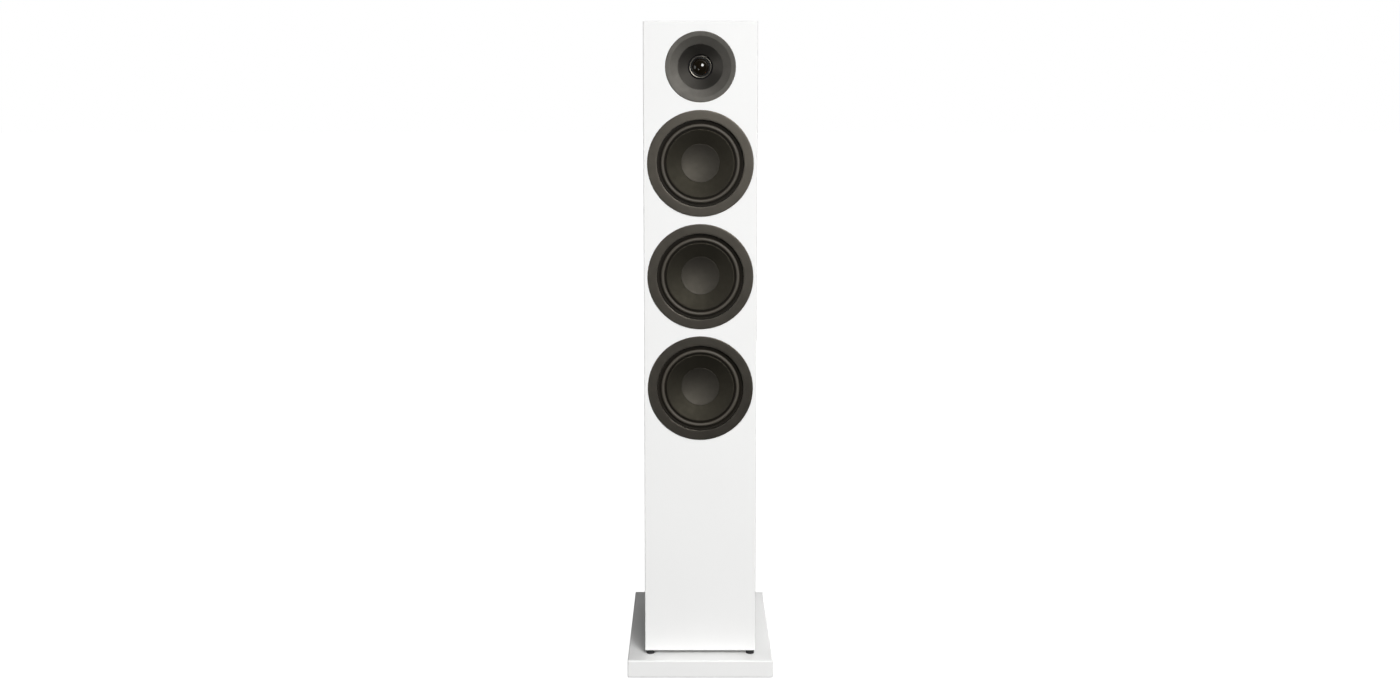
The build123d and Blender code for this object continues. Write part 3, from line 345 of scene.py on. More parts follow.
def deep_inside(tree, low, high):
    """1 where a point lies more than SKIN_DEPTH inside the box between two corners, and 0 on its skin."""
    middle = (low + high) / 2
    half = (high - low) / 2 - SKIN_DEPTH
    place = add_node(tree, "ShaderNodeTexCoord")
    scaled = add_node(
        tree,
        "ShaderNodeMapping",
        values={"Location": tuple(-middle / half), "Scale": tuple(1 / half)},
        links={"Vector": place.outputs["Object"]},
    )
    away = add_node(
        tree,
        "ShaderNodeVectorMath",
        settings={"operation": "ABSOLUTE"},
        links={0: scaled.outputs["Vector"]},
    )
    axes = add_node(tree, "ShaderNodeSeparateXYZ", links={"Vector": away.outputs["Vector"]})
    across = combine(tree, axes.outputs["X"], axes.outputs["Y"], "MAXIMUM")
    farthest = combine(tree, across, axes.outputs["Z"], "MAXIMUM")
    test = add_node(
        tree, "ShaderNodeMath", settings={"operation": "LESS_THAN"}, values={1: 1.0}, links={0: farthest}
    )
    return test.outputs[0]


def board_under_lacquer(colour, low, high):
    """Fibreboard sprayed outside only: satin white on the skin, bare tan board on every inner face."""
    material = sprayed_lacquer(colour)
    material.name = "lacquered_fibreboard"
    tree = material.node_tree
    shader = tree.nodes["Principled BSDF"]
    inside = deep_inside(tree, low, high)
    outer = shader.inputs["Base Color"].links[0].from_socket
    tan = add_node(tree, "ShaderNodeValToRGB", links={"Fac": speckle(tree, 1.6, 5.0)})
    tan.color_ramp.elements[0].color = rgba(linear("#8d7350"))
    tan.color_ramp.elements[1].color = rgba(linear("#b4966e"))
    mix = add_node(
        tree, "ShaderNodeMixRGB", links={"Fac": inside, "Color1": outer, "Color2": tan.outputs["Color"]}
    )
    tree.links.new(mix.outputs["Color"], shader.inputs["Base Color"])
    dull = add_node(
        tree, "ShaderNodeMapRange", values={"To Min": 0.5, "To Max": 0.0}, links={"Value": inside}
    )
    tree.links.new(dull.outputs["Result"], shader.inputs["Specular IOR Level"])
    return material


def metallic_coat(name, colour, roughness, grit_mm=0.35):
    """Metal flake paint sprayed on a moulding or pulp: a satin skin whose flakes spread highlights wide.

    The real flakes are about 0.05 mm; they are drawn coarser so that they show.
    """
    material, tree, shader = new_material(name, colour, roughness, Metallic=1.0)
    raise_surface(tree, shader, speckle(tree, grit_mm, 2.0), 0.02, 0.35)
    vary_roughness(tree, shader, speckle(tree, 9.0, 4.0), roughness - 0.03, roughness + 0.04)
    vary_colour(tree, shader, speckle(tree, 35.0, 2.0), shade(colour, 0.93), shade(colour, 1.05))
    return material


def moulded_plastic(name, colour, roughness, texture_mm=0.5, depth_mm=0.02):
    """Injection moulded ABS with spark eroded texture: dull, with a grain that breaks up reflections."""
    material, tree, shader = new_material(name, colour, roughness, IOR=1.53)
    raise_surface(tree, shader, speckle(tree, texture_mm, 3.0), depth_mm, 0.5)
    vary_roughness(tree, shader, speckle(tree, 6.0, 3.0), roughness - 0.04, roughness + 0.05)
    vary_colour(tree, shader, speckle(tree, 22.0, 2.0), shade(colour, 0.92), shade(colour, 1.06))
    return material


def moulded_rubber(name, colour, roughness):
    """Moulded butyl rubber: nearly black, a soft sheen on every curve and a thin bloom of dust."""
    material, tree, shader = new_material(name, colour, roughness, IOR=1.52)
    raise_surface(tree, shader, speckle(tree, 0.8, 3.0), 0.015, 0.4)
    vary_roughness(tree, shader, speckle(tree, 4.0, 4.0), roughness - 0.05, roughness + 0.07)
    vary_colour(tree, shader, speckle(tree, 12.0, 5.0), shade(colour, 0.85), shade(colour, 1.25))
    return material


def rubber_with_painted_crest_highlight(name, flat_colour, crest_painted_highlight_colour, roughness):
    """Moulded rubber: dull black grooves, and on the crest a lighter grey that is a painted highlight,
    under a broad sheen.

    The mesh attribute "crest" is 0 on the flat feet and 1 at the top of the roll.
    """
    material, tree, shader = new_material(name, flat_colour, roughness, IOR=1.52)
    raise_surface(tree, shader, speckle(tree, 0.8, 3.0), 0.015, 0.4)
    crest = add_node(tree, "ShaderNodeAttribute", settings={"attribute_name": "crest"}).outputs["Fac"]
    # painted highlight: the crest's colour rises from the rubber's black to a lighter grey
    ramp = add_node(tree, "ShaderNodeValToRGB", links={"Fac": crest})
    ramp.color_ramp.elements[0].color = rgba(flat_colour)
    ramp.color_ramp.elements[1].color = rgba(crest_painted_highlight_colour)
    tree.links.new(ramp.outputs["Color"], shader.inputs["Base Color"])
    sheen = add_node(
        tree, "ShaderNodeMapRange", values={"To Min": 0.15, "To Max": 1.0}, links={"Value": crest}
    )
    tree.links.new(sheen.outputs["Result"], shader.inputs["Specular IOR Level"])
    return material


def plated_metal(name, colour, roughness, streak_mm=1.2):
    """Machined and plated metal: bright, with fine tool streaks that stretch reflections."""
    material, tree, shader = new_material(name, colour, roughness, Metallic=1.0)
    streaks = speckle(tree, streak_mm, 4.0, stretch=(1, 8, 1))
    raise_surface(tree, shader, streaks, 0.01, 0.4)
    vary_roughness(tree, shader, streaks, roughness - 0.06, roughness + 0.08)
    vary_colour(tree, shader, speckle(tree, 15.0, 3.0), shade(colour, 0.93), colour)
    return material


def sintered_ferrite():
    """Pressed and sintered ferrite: charcoal, matt, with tiny pits and grinding haze."""
    material, tree, shader = new_material("sintered_ferrite", linear("#2c2b2d"), 0.62, IOR=2.0)
    raise_surface(tree, shader, speckle(tree, 1.0, 5.0), 0.05, 0.6)
    vary_colour(tree, shader, speckle(tree, 3.0, 5.0), linear("#242325"), linear("#3a393b"))
    return material


def bare_fibreboard():
    """Sawn medium density fibreboard: tan, fuzzy and even, with short pressed fibres."""
    material, tree, shader = new_material("sawn_fibreboard", linear("#b4966e"), 0.85)
    fibres = speckle(tree, 1.6, 5.0, stretch=(1, 1, 4))
    raise_surface(tree, shader, fibres, 0.08, 0.7)
    vary_colour(tree, shader, fibres, linear("#a1835c"), linear("#c3a67e"))
    return material


def polyester_wadding():
    """Carded polyester wadding: off-white loose fibres that scatter light and look soft at the rim."""
    material, tree, shader = new_material(
        "carded_polyester_wadding", linear("#e4e2d8"), 0.95, Sheen_Weight=0.5, Sheen_Roughness=0.6
    )
    fibres = speckle(tree, 2.4, 8.0, stretch=(1, 1, 3))
    raise_surface(tree, shader, fibres, 1.6, 0.9)
    vary_colour(tree, shader, fibres, linear("#cfccc0"), linear("#f1efe8"))
    return material


def woven_cotton():
    """Resin dipped woven cotton: amber threads about 0.6 mm apart crossing at right angles."""
    material, tree, shader = new_material("resin_dipped_cotton", linear("#8a6a3a"), 0.8, Sheen_Weight=0.2)
    weave = combine(tree, bands(tree, 0.6, "X"), bands(tree, 0.6, "Y"), "ADD")
    half = combine(tree, weave, speckle(tree, 2.0, 2.0), "MULTIPLY")
    raise_surface(tree, shader, weave, 0.12, 0.8)
    vary_colour(tree, shader, half, linear("#6f5228"), linear("#a5834c"))
    return material


def coated_cloth():
    """Fine cloth with a tacky damping coat, as on a soft surround: black with a low sheen."""
    material, tree, shader = new_material("coated_cloth", linear("#0f0d0b"), 0.5)
    raise_surface(tree, shader, speckle(tree, 0.3, 2.0), 0.01, 0.4)
    vary_roughness(tree, shader, speckle(tree, 1.0, 2.0), 0.36, 0.48)
    return material


def polished_dome_metal():
    """Deep drawn dome, black anodised and polished: a near mirror that gathers lamps into small spots."""
    material, tree, shader = new_material("polished_black_dome", linear("#17130d"), 0.10, IOR=1.7)
    vary_roughness(tree, shader, speckle(tree, 3.0, 3.0), 0.08, 0.14)
    raise_surface(tree, shader, speckle(tree, 1.2, 2.0), 0.002, 0.3)
    return material


def wound_copper():
    """Enamelled copper wire wound in layers: orange metal in even turns 0.8 mm apart."""
    material, tree, shader = new_material("enamelled_copper_winding", linear("#b5653a"), 0.3, Metallic=1.0)
    turns = bands(tree, 0.8, "Z", "Object", 0.3)
    raise_surface(tree, shader, turns, 0.25, 0.9)
    vary_colour(tree, shader, turns, linear("#7d3d20"), linear("#c9784a"))
    return material


def dipped_film_capacitor():
    """Epoxy dipped film capacitor: glossy oxide red with slight flow marks."""
    material, tree, shader = new_material(
        "dipped_epoxy", linear("#a83a22"), 0.22, Coat_Weight=0.4, Coat_Roughness=0.1
    )
    raise_surface(tree, shader, speckle(tree, 5.0, 2.0), 0.06, 0.5)
    vary_colour(tree, shader, speckle(tree, 8.0, 2.0), linear("#96301b"), linear("#b24428"))
    return material


def cement_resistor():
    """Cast cement in a ceramic trough: chalky cream with sand grains."""
    material, tree, shader = new_material("cast_cement", linear("#d8d2c2"), 0.9)
    raise_surface(tree, shader, speckle(tree, 0.9, 5.0), 0.1, 0.7)
    vary_colour(tree, shader, speckle(tree, 1.5, 5.0), linear("#c4bdaa"), linear("#e4dfd2"))
    return material


def circuit_laminate():
    """Pressed glass laminate with solder resist: green, smooth, the weave just showing through."""
    material, tree, shader = new_material("circuit_laminate", linear("#2f5a3a"), 0.38, Coat_Weight=0.3)
    weave = combine(tree, bands(tree, 1.4, "X", "Object"), bands(tree, 1.4, "Y", "Object"), "MULTIPLY")
    raise_surface(tree, shader, weave, 0.015, 0.5)
    vary_colour(tree, shader, weave, linear("#2b5335"), linear("#356441"))
    return material


def paint_node(node, material):
    """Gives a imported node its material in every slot."""
    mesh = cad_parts[node].data
    mesh.materials.clear()
    mesh.materials.append(material)


def place_piece(piece, material, replaced, body=None):
    """Common last steps of a new piece: its finish, what it stands for and what it rides on."""
    piece.data.materials.append(material)
    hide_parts(replaced)
    if body is not None:
        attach(piece, body)
    return piece


# ---------------------------------------------------------------- settings


def colour_setting(label, description, hex_colour):
    """A colour that a user can change."""
    return bpy.props.FloatVectorProperty(
        name=label,
        description=description,
        subtype="COLOR",
        size=3,
        min=0,
        max=1,
        default=linear(hex_colour),
    )


def millimetre_setting(label, description, default, smallest):
    """A size in millimetres that a user can change."""
    return bpy.props.FloatProperty(
        name=label, description=f"{description} in mm", default=default, min=smallest
    )


class LacquerSettings(bpy.types.PropertyGroup):
    """Colour of the cabinet's finish."""

    lacquer_colour: colour_setting("Lacquer colour", "Colour of the sprayed cabinet and plinth", "#efefee")


class WooferSettings(bpy.types.PropertyGroup):
    """Sizes, in millimetres of radius and height from the front of the baffle, and colours of a woofer."""

    ring_colour: colour_setting("Ring colour", "Colour of the trim ring's metallic paint", "#7a756c")
    cone_colour: colour_setting("Cone colour", "Colour of the cone's metallic coat", "#605c51")
    cap_colour: colour_setting("Cap colour", "Colour of the dust cap's metallic paint", "#68645c")
    # crest colour: a painted highlight, a lighter grey than the rubber's black
    crest_painted_highlight_colour: colour_setting("Crest colour", "Colour of the bloom on the surround's crest", "#443f36")
    edge_round: millimetre_setting("Ring edge", "Rounding of the trim ring's inner edge", 1.1, 0.1)
    roll_middle: millimetre_setting("Roll radius", "Radius of the surround's crest", 63.2, 60)
    roll_half_width: millimetre_setting("Roll half width", "Half the width of the surround's roll", 3.0, 1)
    shoulder: millimetre_setting("Cone shoulder", "Rounding of the cone's outer shoulder", 6.0, 0.5)


class TweeterSettings(bpy.types.PropertyGroup):
    """Sizes and colours of the tweeter and its waveguide."""

    guide_colour: colour_setting("Waveguide colour", "Colour of the waveguide's shallow flare", "#898680")
    # the inner horn's grey is darker than the flare's: painted shade of the recessed horn and its throat
    horn_colour_painted_shade: colour_setting("Horn colour", "Colour of the waveguide's inner horn", "#6e6b66")
    lip_round: millimetre_setting("Lip rounding", "Rounding of the waveguide's outer lip", 0.9, 0.1)


class StageSettings(bpy.types.PropertyGroup):
    """Camera and light."""

    camera_distance: bpy.props.FloatProperty(
        name="Camera distance",
        description="From the cabinet's front to the camera",
        unit="LENGTH",
        default=2.545,
        min=0.5,
    )
    camera_height: bpy.props.FloatProperty(
        name="Camera height",
        description="Above the cabinet's underside",
        unit="LENGTH",
        default=0.968,
    )
    camera_pitch: bpy.props.FloatProperty(
        name="Camera pitch", description="Downward tilt", subtype="ANGLE", default=math.radians(6.15)
    )
    lens: bpy.props.FloatProperty(name="Lens", description="Focal length in mm", default=39.3, min=10)
    key_power: bpy.props.FloatProperty(
        name="Key power", description="Power of the large soft box in watts", default=65.0, min=0
    )
    sky_strength: bpy.props.FloatProperty(
        name="Sky strength",
        description="Matt light from high up, in watts a square metre",
        default=1.76,
        min=0,
    )


# ---------------------------------------------------------------- operators


BOARDS = ("front_baffle", "rear_panel", "left_side_panel", "right_side_panel", "top_panel", "bottom_panel")


class SPEAKER_OT_lacquer_cabinet(bpy.types.Operator):
    """Gives the cabinet's boards, the plinth and what holds them together their finishes"""

    bl_idname = "speaker.lacquer_cabinet"
    bl_label = "Lacquer cabinet"

    def execute(self, context):
        colour = context.scene.speaker_lacquer.lacquer_colour
        corners = [node_box(node) for node in BOARDS]
        low = np.min([corner[0] for corner in corners], axis=0)
        high = np.max([corner[1] for corner in corners], axis=0)
        board = board_under_lacquer(colour, low, high)
        for node in BOARDS:
            paint_node(node, board)
        paint_node("plinth", sprayed_lacquer(colour))
        paint_node("window_braces", bare_fibreboard())
        paint_node("plinth_spacers", moulded_rubber("spacer_rubber", linear("#1c1b1d"), 0.6))
        paint_node("rubber_feet", moulded_rubber("foot_rubber", linear("#1a1a1a"), 0.7))
        paint_node("plinth_bolts", plated_metal("zinc_plated_steel", linear("#a9a9ab"), 0.35))
        paint_node("threaded_inserts", plated_metal("turned_brass", linear("#b8954f"), 0.3))
        return {"FINISHED"}


class SPEAKER_OT_build_woofers(bpy.types.Operator):
    """Builds the visible and soft pieces of the three woofers"""

    bl_idname = "speaker.build_woofers"
    bl_label = "Build woofers"

    def execute(self, context):
        settings = context.scene.speaker_woofer
        ring_metal = metallic_coat("flake_painted_trim", settings.ring_colour, 0.42)
        cone_metal = metallic_coat("flake_coated_cone_pulp", settings.cone_colour, 0.71)
        cap_metal = metallic_coat("flake_painted_cap", settings.cap_colour, 0.64)
        # the surround's crest gets a painted highlight colour
        rubber = rubber_with_painted_crest_highlight("butyl_rubber_painted_crest_highlight", linear("#15120c"), settings.crest_painted_highlight_colour, 0.58)
        cloth = woven_cotton()
        casting = moulded_rubber("powder_coated_casting", linear("#232323"), 0.55)
        for number in WOOFERS:
            ring_node = f"woofer_trim_ring_{number}"
            axis_point = node_middle(ring_node)
            axis_point[1] = node_box("front_baffle")[0][1]
            build_trim_ring(settings, axis_point, number, ring_metal)
            build_surround(settings, axis_point, number, rubber)
            build_cone(settings, axis_point, number, cone_metal, cap_metal)
            build_spider(axis_point, number, cloth)
            paint_node(f"woofer_basket_{number}", casting)
            paint_node(f"woofer_voice_coil_{number}", winding_finish())
        return {"FINISHED"}


def winding_finish():
    """The copper of every coil, made once."""
    return bpy.data.materials.get("enamelled_copper_winding") or wound_copper()


# radii and heights of a woofer in mm, heights from the front of the baffle and positive outwards
RING_OUTER, RING_INNER, RING_PROUD = 88.4, 72.5, 1.5
FLANGE_FRONT, SKIRT_RADIUS, LEDGE = -1.5, 74.3, -4.3
RUBBER, CONE_SHEET = 0.8, 0.5


def build_trim_ring(settings, axis_point, number, material):
    """Flat ring with a soft inner edge: a rounded outline turned about the woofer's axis."""
    corners = [
        (RING_INNER, LEDGE + RUBBER, 0.2),
        (SKIRT_RADIUS, LEDGE + RUBBER, 0.2),
        (SKIRT_RADIUS, FLANGE_FRONT, 0.0),
        (RING_OUTER, FLANGE_FRONT, 0.0),
        (RING_OUTER, RING_PROUD, 0.7),
        (RING_INNER, RING_PROUD, settings.edge_round),
    ]
    outline = finer(smooth_outline(corners, 8), 3.0)
    piece = turned_piece(f"trim_ring_{number}", outline, axis_point)
    place_piece(piece, material, f"woofer_trim_ring_{number}", FRAME_BODY)


FOOT_OUTER, FOOT_STEP, FOOT_INNER = 74.2, 70.2, 57.0


def build_surround(settings, axis_point, number, material):
    """Half-round rubber roll between two flat feet, the outer one with a small raised rim."""
    middle, half = settings.roll_middle, settings.roll_half_width
    top = LEDGE + RUBBER
    inner_top = LEDGE + 0.55
    outer_side = smooth_outline(
        [
            (middle + half, LEDGE, 0.0),
            (FOOT_OUTER, LEDGE, 0.0),
            (FOOT_OUTER, top, 0.2),
            (FOOT_STEP, top, 0.35),
            (FOOT_STEP - 0.6, inner_top, 0.5),
            (middle + half, inner_top, 0.0),
        ],
        6,
    )
    roll_over = arc_points((middle, inner_top), half, 0, 180, 33)
    inner_side = smooth_outline(
        [
            (middle - half, inner_top, 0.0),
            (FOOT_INNER, inner_top, 0.25),
            (FOOT_INNER, LEDGE, 0.0),
            (middle - half, LEDGE, 0.0),
        ],
        6,
    )
    roll_under = arc_points((middle, LEDGE), half - 0.55, 180, 0, 25)
    outline = np.concatenate([outer_side, roll_over[1:-1], inner_side, roll_under])
    piece = turned_piece(f"surround_{number}", outline, axis_point)
    mark_crest(piece, axis_point[1] - inner_top * MM, half * MM)
    place_piece(piece, material, f"woofer_surround_{number}")
    bend_between(piece, axis_point)


def mark_crest(piece, base_y, rise):
    """Stores how far up the roll each vertex stands, from 0 at base_y to 1 at its crest."""
    mesh = piece.data
    places = np.zeros(len(mesh.vertices) * 3, np.float32)
    mesh.vertices.foreach_get("co", places)
    share = np.clip((base_y - places.reshape(-1, 3)[:, 1]) / (0.8 * rise), 0, 1)
    mesh.attributes.new("crest", "FLOAT", "POINT").data.foreach_set("value", share.astype(np.float32))


CONE_EDGE, CONE_NECK, NECK_HEIGHT = 59.2, 17.0, -25.0
CAP_RADIUS, CAP_RIM, CAP_DEPTH, CAP_SHEET = 32.0, -15.6, 5.6, 0.5


def build_cone(settings, axis_point, number, material, cap_material):
    """Straight cone with a rounded shoulder, and a dished cap glued on its face."""
    sheet = CONE_SHEET
    corners = [
        (CONE_EDGE, LEDGE - sheet, 0.0),
        (CONE_EDGE, LEDGE, 0.0),
        (57.0, LEDGE, 0.3),
        (55.9, LEDGE + 0.55, settings.shoulder),
        (CONE_NECK, NECK_HEIGHT, 0.0),
        (CONE_NECK, NECK_HEIGHT - 1.0, 0.0),
        (55.9, LEDGE - sheet - 0.2, 2.0),
    ]
    outline = finer(smooth_outline(corners, 12), 2.0)
    piece = turned_piece(f"cone_{number}", outline, axis_point)
    place_piece(piece, material, f"woofer_cone_{number}", f"cone_{number}")
    front = dish_points(CAP_RADIUS, CAP_RIM, -CAP_DEPTH, 40)
    rim = arc_points((CAP_RADIUS, CAP_RIM - CAP_SHEET / 2), CAP_SHEET / 2, 90, -90, 7)
    back = front[::-1][1:] - (0, CAP_SHEET)
    outline = np.concatenate([front[:-1], rim, back])
    cap = turned_piece(f"dust_cap_{number}", outline, axis_point)
    place_piece(cap, cap_material, f"woofer_dust_cap_{number}", f"cone_{number}")


SPIDER_HEIGHT, SPIDER_SHEET, SPIDER_RADII = -33.5, 0.5, (17.1, 19.5, 44.5, 50.0)
SPIDER_WAVE, SPIDER_WAVES = 1.5, 5


def build_spider(axis_point, number, material):
    """Corrugated cloth disc between a collar and a foot, a share s of the way from one to the other.

    height = SPIDER_HEIGHT - SPIDER_WAVE sin(2 pi SPIDER_WAVES s)
    """
    hole, collar, foot, edge = SPIDER_RADII
    r = np.concatenate([[hole], np.linspace(collar, foot, 121), [edge]])
    share = np.clip((r - collar) / (foot - collar), 0, 1)
    height = SPIDER_HEIGHT - SPIDER_WAVE * np.sin(share * TURN * SPIDER_WAVES)
    upper = np.stack([r, height + SPIDER_SHEET], 1)
    lower = np.stack([r, height], 1)[::-1]
    piece = turned_piece(f"spider_{number}", np.concatenate([upper, lower]), axis_point)
    place_piece(piece, material, f"woofer_spider_{number}")
    bend_between(piece, axis_point)


class SPEAKER_OT_build_tweeter(bpy.types.Operator):
    """Builds the waveguide, the clamp ring, the soft surround and the dome"""

    bl_idname = "speaker.build_tweeter"
    bl_label = "Build tweeter"

    def execute(self, context):
        settings = context.scene.speaker_tweeter
        axis_point = node_middle("tweeter_flare")
        axis_point[1] = node_box("front_baffle")[0][1]
        flare = metallic_coat("flake_painted_flare", settings.guide_colour, 0.66)
        # painted shade: the horn and its throat get a darker grey than the flare
        horn = metallic_coat("flake_painted_horn", settings.horn_colour_painted_shade, 0.55)
        build_waveguide(settings, axis_point, flare, horn)
        build_dome(axis_point)
        paint_node("tweeter_voice_coil", winding_finish())
        return {"FINISHED"}


# radii and heights of the tweeter in mm, as for a woofer
GUIDE_OUTER, GUIDE_FLAT, GUIDE_STEP, THROAT = 58.3, 51.0, 37.7, 20.8
FLARE_HEIGHTS = (0.9, 0.1, -4.9)
FLARE_BACK, HORN_BACK = -8.0, -11.0
HORN_TOP, THROAT_HEIGHT, PLATE_BACK = -5.3, -15.9, -20.0


def build_waveguide(settings, axis_point, flare_material, horn_material):
    """Two turned rings: a shallow dished flare, and inside it a straight steeper horn to the throat."""
    lip, flat, step = FLARE_HEIGHTS
    flare = [
        (GUIDE_OUTER, FLARE_BACK, 0.0),
        (GUIDE_OUTER, lip, settings.lip_round),
        (GUIDE_FLAT, flat, 5.0),
        (GUIDE_STEP, step, 0.25),
        (GUIDE_STEP, FLARE_BACK, 0.0),
        (GUIDE_STEP + 2.4, FLARE_BACK, 0.0),
        (GUIDE_OUTER - 2.4, -3.0, 0.0),
        (GUIDE_OUTER - 2.4, FLARE_BACK, 0.0),
    ]
    piece = turned_piece("waveguide_flare", finer(smooth_outline(flare, 8), 2.0), axis_point)
    place_piece(piece, flare_material, "tweeter_flare", FRAME_BODY)
    horn_edge = GUIDE_STEP - 0.2
    horn = [
        (GUIDE_OUTER - 0.5, FLARE_BACK, 0.0),
        (horn_edge, FLARE_BACK, 0.0),
        (horn_edge, HORN_TOP, 0.25),
        (THROAT, THROAT_HEIGHT, 0.4),
        (THROAT, PLATE_BACK, 0.0),
        (THROAT + 4.7, PLATE_BACK, 0.0),
        (THROAT + 4.7, PLATE_BACK + 2.5, 0.0),
        (horn_edge + 1, HORN_BACK, 0.0),
        (GUIDE_OUTER - 0.5, HORN_BACK, 0.0),
    ]
    piece = turned_piece("waveguide_horn", finer(smooth_outline(horn, 6), 2.0), axis_point)
    place_piece(piece, horn_material, "tweeter_faceplate", FRAME_BODY)


CLAMP_OUTER, CLAMP_INNER, CLAMP_FRONT = 18.4, 16.5, -17.4
DOME_RADIUS, DOME_BASE, DOME_RISE, DOME_SHEET = 13.2, -19.6, 5.2, 0.4
TINY_ROLL_OUTER, TINY_ROLL_INNER, TINY_SHEET = 15.8, 13.4, 0.3
CLAMP_BACK, TINY_FOOT = -19.55, -19.65


def build_dome(axis_point):
    """Clamp ring, small half roll and spherical dome, all turned about the tweeter's axis."""
    bright = plated_metal("turned_bright_ring", linear("#8a867d"), 0.38, 0.6)
    ring = [
        (CLAMP_INNER, CLAMP_BACK, 0.0),
        (CLAMP_OUTER, CLAMP_BACK, 0.0),
        (CLAMP_OUTER, CLAMP_FRONT, 0.7),
        (CLAMP_INNER, CLAMP_FRONT - 0.5, 0.7),
    ]
    piece = turned_piece("clamp_ring", finer(smooth_outline(ring, 8), 1.0), axis_point, SMALL_SEGMENTS)
    place_piece(piece, bright, "tweeter_clamp_ring", FRAME_BODY)
    middle = (TINY_ROLL_OUTER + TINY_ROLL_INNER) / 2
    half = (TINY_ROLL_OUTER - TINY_ROLL_INNER) / 2
    over = arc_points((middle, TINY_FOOT), half, 0, 180, 17)
    under = arc_points((middle, TINY_FOOT - TINY_SHEET), half - TINY_SHEET, 180, 0, 13)
    foot = np.array([(CLAMP_OUTER - 0.1, TINY_FOOT - TINY_SHEET), (CLAMP_OUTER - 0.1, TINY_FOOT)])
    piece = turned_piece(
        "tweeter_roll", np.concatenate([foot, over, under]), axis_point, SMALL_SEGMENTS
    )
    place_piece(piece, coated_cloth(), "tweeter_surround")
    bend_between(piece, axis_point)
    front = dish_points(DOME_RADIUS, DOME_BASE, DOME_RISE, 32)
    back = front[::-1] - (0, DOME_SHEET)
    dome = turned_piece("dome", np.concatenate([front, back]), axis_point, SMALL_SEGMENTS)
    place_piece(dome, polished_dome_metal(), "tweeter_dome", "dome")


class SPEAKER_OT_stuff_cabinet(bpy.types.Operator):
    """Puts the damping pads on the rear wall"""

    bl_idname = "speaker.stuff_cabinet"
    bl_label = "Stuff cabinet"

    def execute(self, context):
        wadding = polyester_wadding()
        low, high = node_box("damping_pads")
        port = node_middle("reflex_port")
        for number, (bottom, top) in enumerate(pad_bays(), start=1):
            corners = np.array([low[0], low[1], bottom]), np.array([high[0], high[1], top])
            if bottom < port[2] < top:
                piece = build_pad_round_port(number, *corners, port)
            else:
                piece = build_pad(number, *corners)
            place_piece(piece, wadding, "damping_pads", FRAME_BODY)
        return {"FINISHED"}


def pad_bays():
    """Bottom and top of each bay that the pads' solids fill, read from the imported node's own heights.

    Each bay gives two heights. The hole for the port adds heights of its own, which are left out.
    """
    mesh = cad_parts["damping_pads"].data
    places = np.zeros(len(mesh.vertices) * 3, np.float32)
    mesh.vertices.foreach_get("co", places)
    heights = np.unique(np.round(places.reshape(-1, 3)[:, 2], 4))
    port_low, port_high = node_box("reflex_port")
    outside = (heights < port_low[2]) | (heights > port_high[2])
    levels = heights[outside]
    return list(zip(levels[0::2], levels[1::2]))


PAD_GRID = (48, 96)  # rows and columns
BOXINESS = 0.35  # power that turns a round outline into a soft-cornered box
PORT_HOLE = 0.041  # radius of the hole for the port's tube, in metres


def boxed(direction):
    """Direction components raised to the power BOXINESS, each with its sign kept."""
    return np.sign(direction) * np.abs(direction) ** BOXINESS


def build_pad_round_port(number, low, high, port):
    """Soft ring round the port's tube, boxy outside and round inside.

    At turn u the inner edge is port + PORT_HOLE (cos u, sin u) and the outer edge is the boxed direction
    times half the pad. The section at turn v goes from one to the other by the boxed cosine of v and
    through the pad's depth by the boxed sine of v.
    """
    u = np.linspace(0, TURN, 2 * PAD_GRID[1], endpoint=False)[:, None]
    v = np.linspace(0, TURN, PAD_GRID[0], endpoint=False)[None, :]
    middle, half = (low + high) / 2, (high - low) / 2
    share = 0.5 + 0.5 * boxed(np.cos(v))
    sides = []
    for axis, wave in ((0, np.cos(u)), (2, np.sin(u))):
        inner = port[axis] + PORT_HOLE * wave
        outer = middle[axis] + half[axis] * boxed(wave)
        sides.append(inner * (1 - share) + outer * share)
    depth = middle[1] + half[1] * boxed(np.sin(v)) * (1 - 0.04 * (0.5 + 0.5 * np.sin(9 * u)))
    grid = np.stack([sides[0], depth, sides[1]], 2)
    index = np.arange(grid.shape[0] * grid.shape[1]).reshape(grid.shape[:2])
    ahead, round_section = np.roll(index, -1, axis=0), np.roll(index, -1, axis=1)
    both = np.roll(ahead, -1, axis=1)
    faces = np.stack([index, round_section, both, ahead], 2).reshape(-1, 4).tolist()
    return link_mesh(f"damping_pad_{number}", grid, faces)


def build_pad(number, low, high):
    """Soft block: on a (u, v) sphere grid the direction d is raised to a power that makes it boxy.

    p = middle + half * sign(d) |d|^BOXINESS, and the fibres' loose outline is a low sine ripple.
    """
    u = np.linspace(0, TURN, PAD_GRID[1], endpoint=False)[None, :]
    v = np.linspace(-math.pi / 2, math.pi / 2, PAD_GRID[0])[:, None]
    direction = np.stack([np.cos(v) * np.cos(u), np.cos(v) * np.sin(u), np.sin(v) + 0 * u], 2)
    boxy = boxed(direction)
    half = (high - low) / 2
    ripple = 1 - 0.05 * (0.5 + 0.5 * np.sin(7 * u + 5 * v + number)) * np.cos(v)
    boxy[:, :, 1] *= ripple
    grid = (low + high) / 2 + boxy * half
    rows, columns = PAD_GRID
    index = np.arange(rows * columns).reshape(rows, columns)
    index[0], index[-1] = index[0, 0], index[-1, 0]
    here, right = index[:-1], np.roll(index, -1, axis=1)[:-1]
    up, corner = index[1:], np.roll(index, -1, axis=1)[1:]
    quads = np.stack([here, right, corner, up], 2)
    faces = quads[1:-1].reshape(-1, 4).tolist()
    faces += quads[0][:, [0, 2, 3]].tolist() + quads[-1][:, [0, 1, 2]].tolist()
    used, faces = without_loose(rows * columns, faces)
    return link_mesh(f"damping_pad_{number}", grid.reshape(-1, 3)[used], faces)


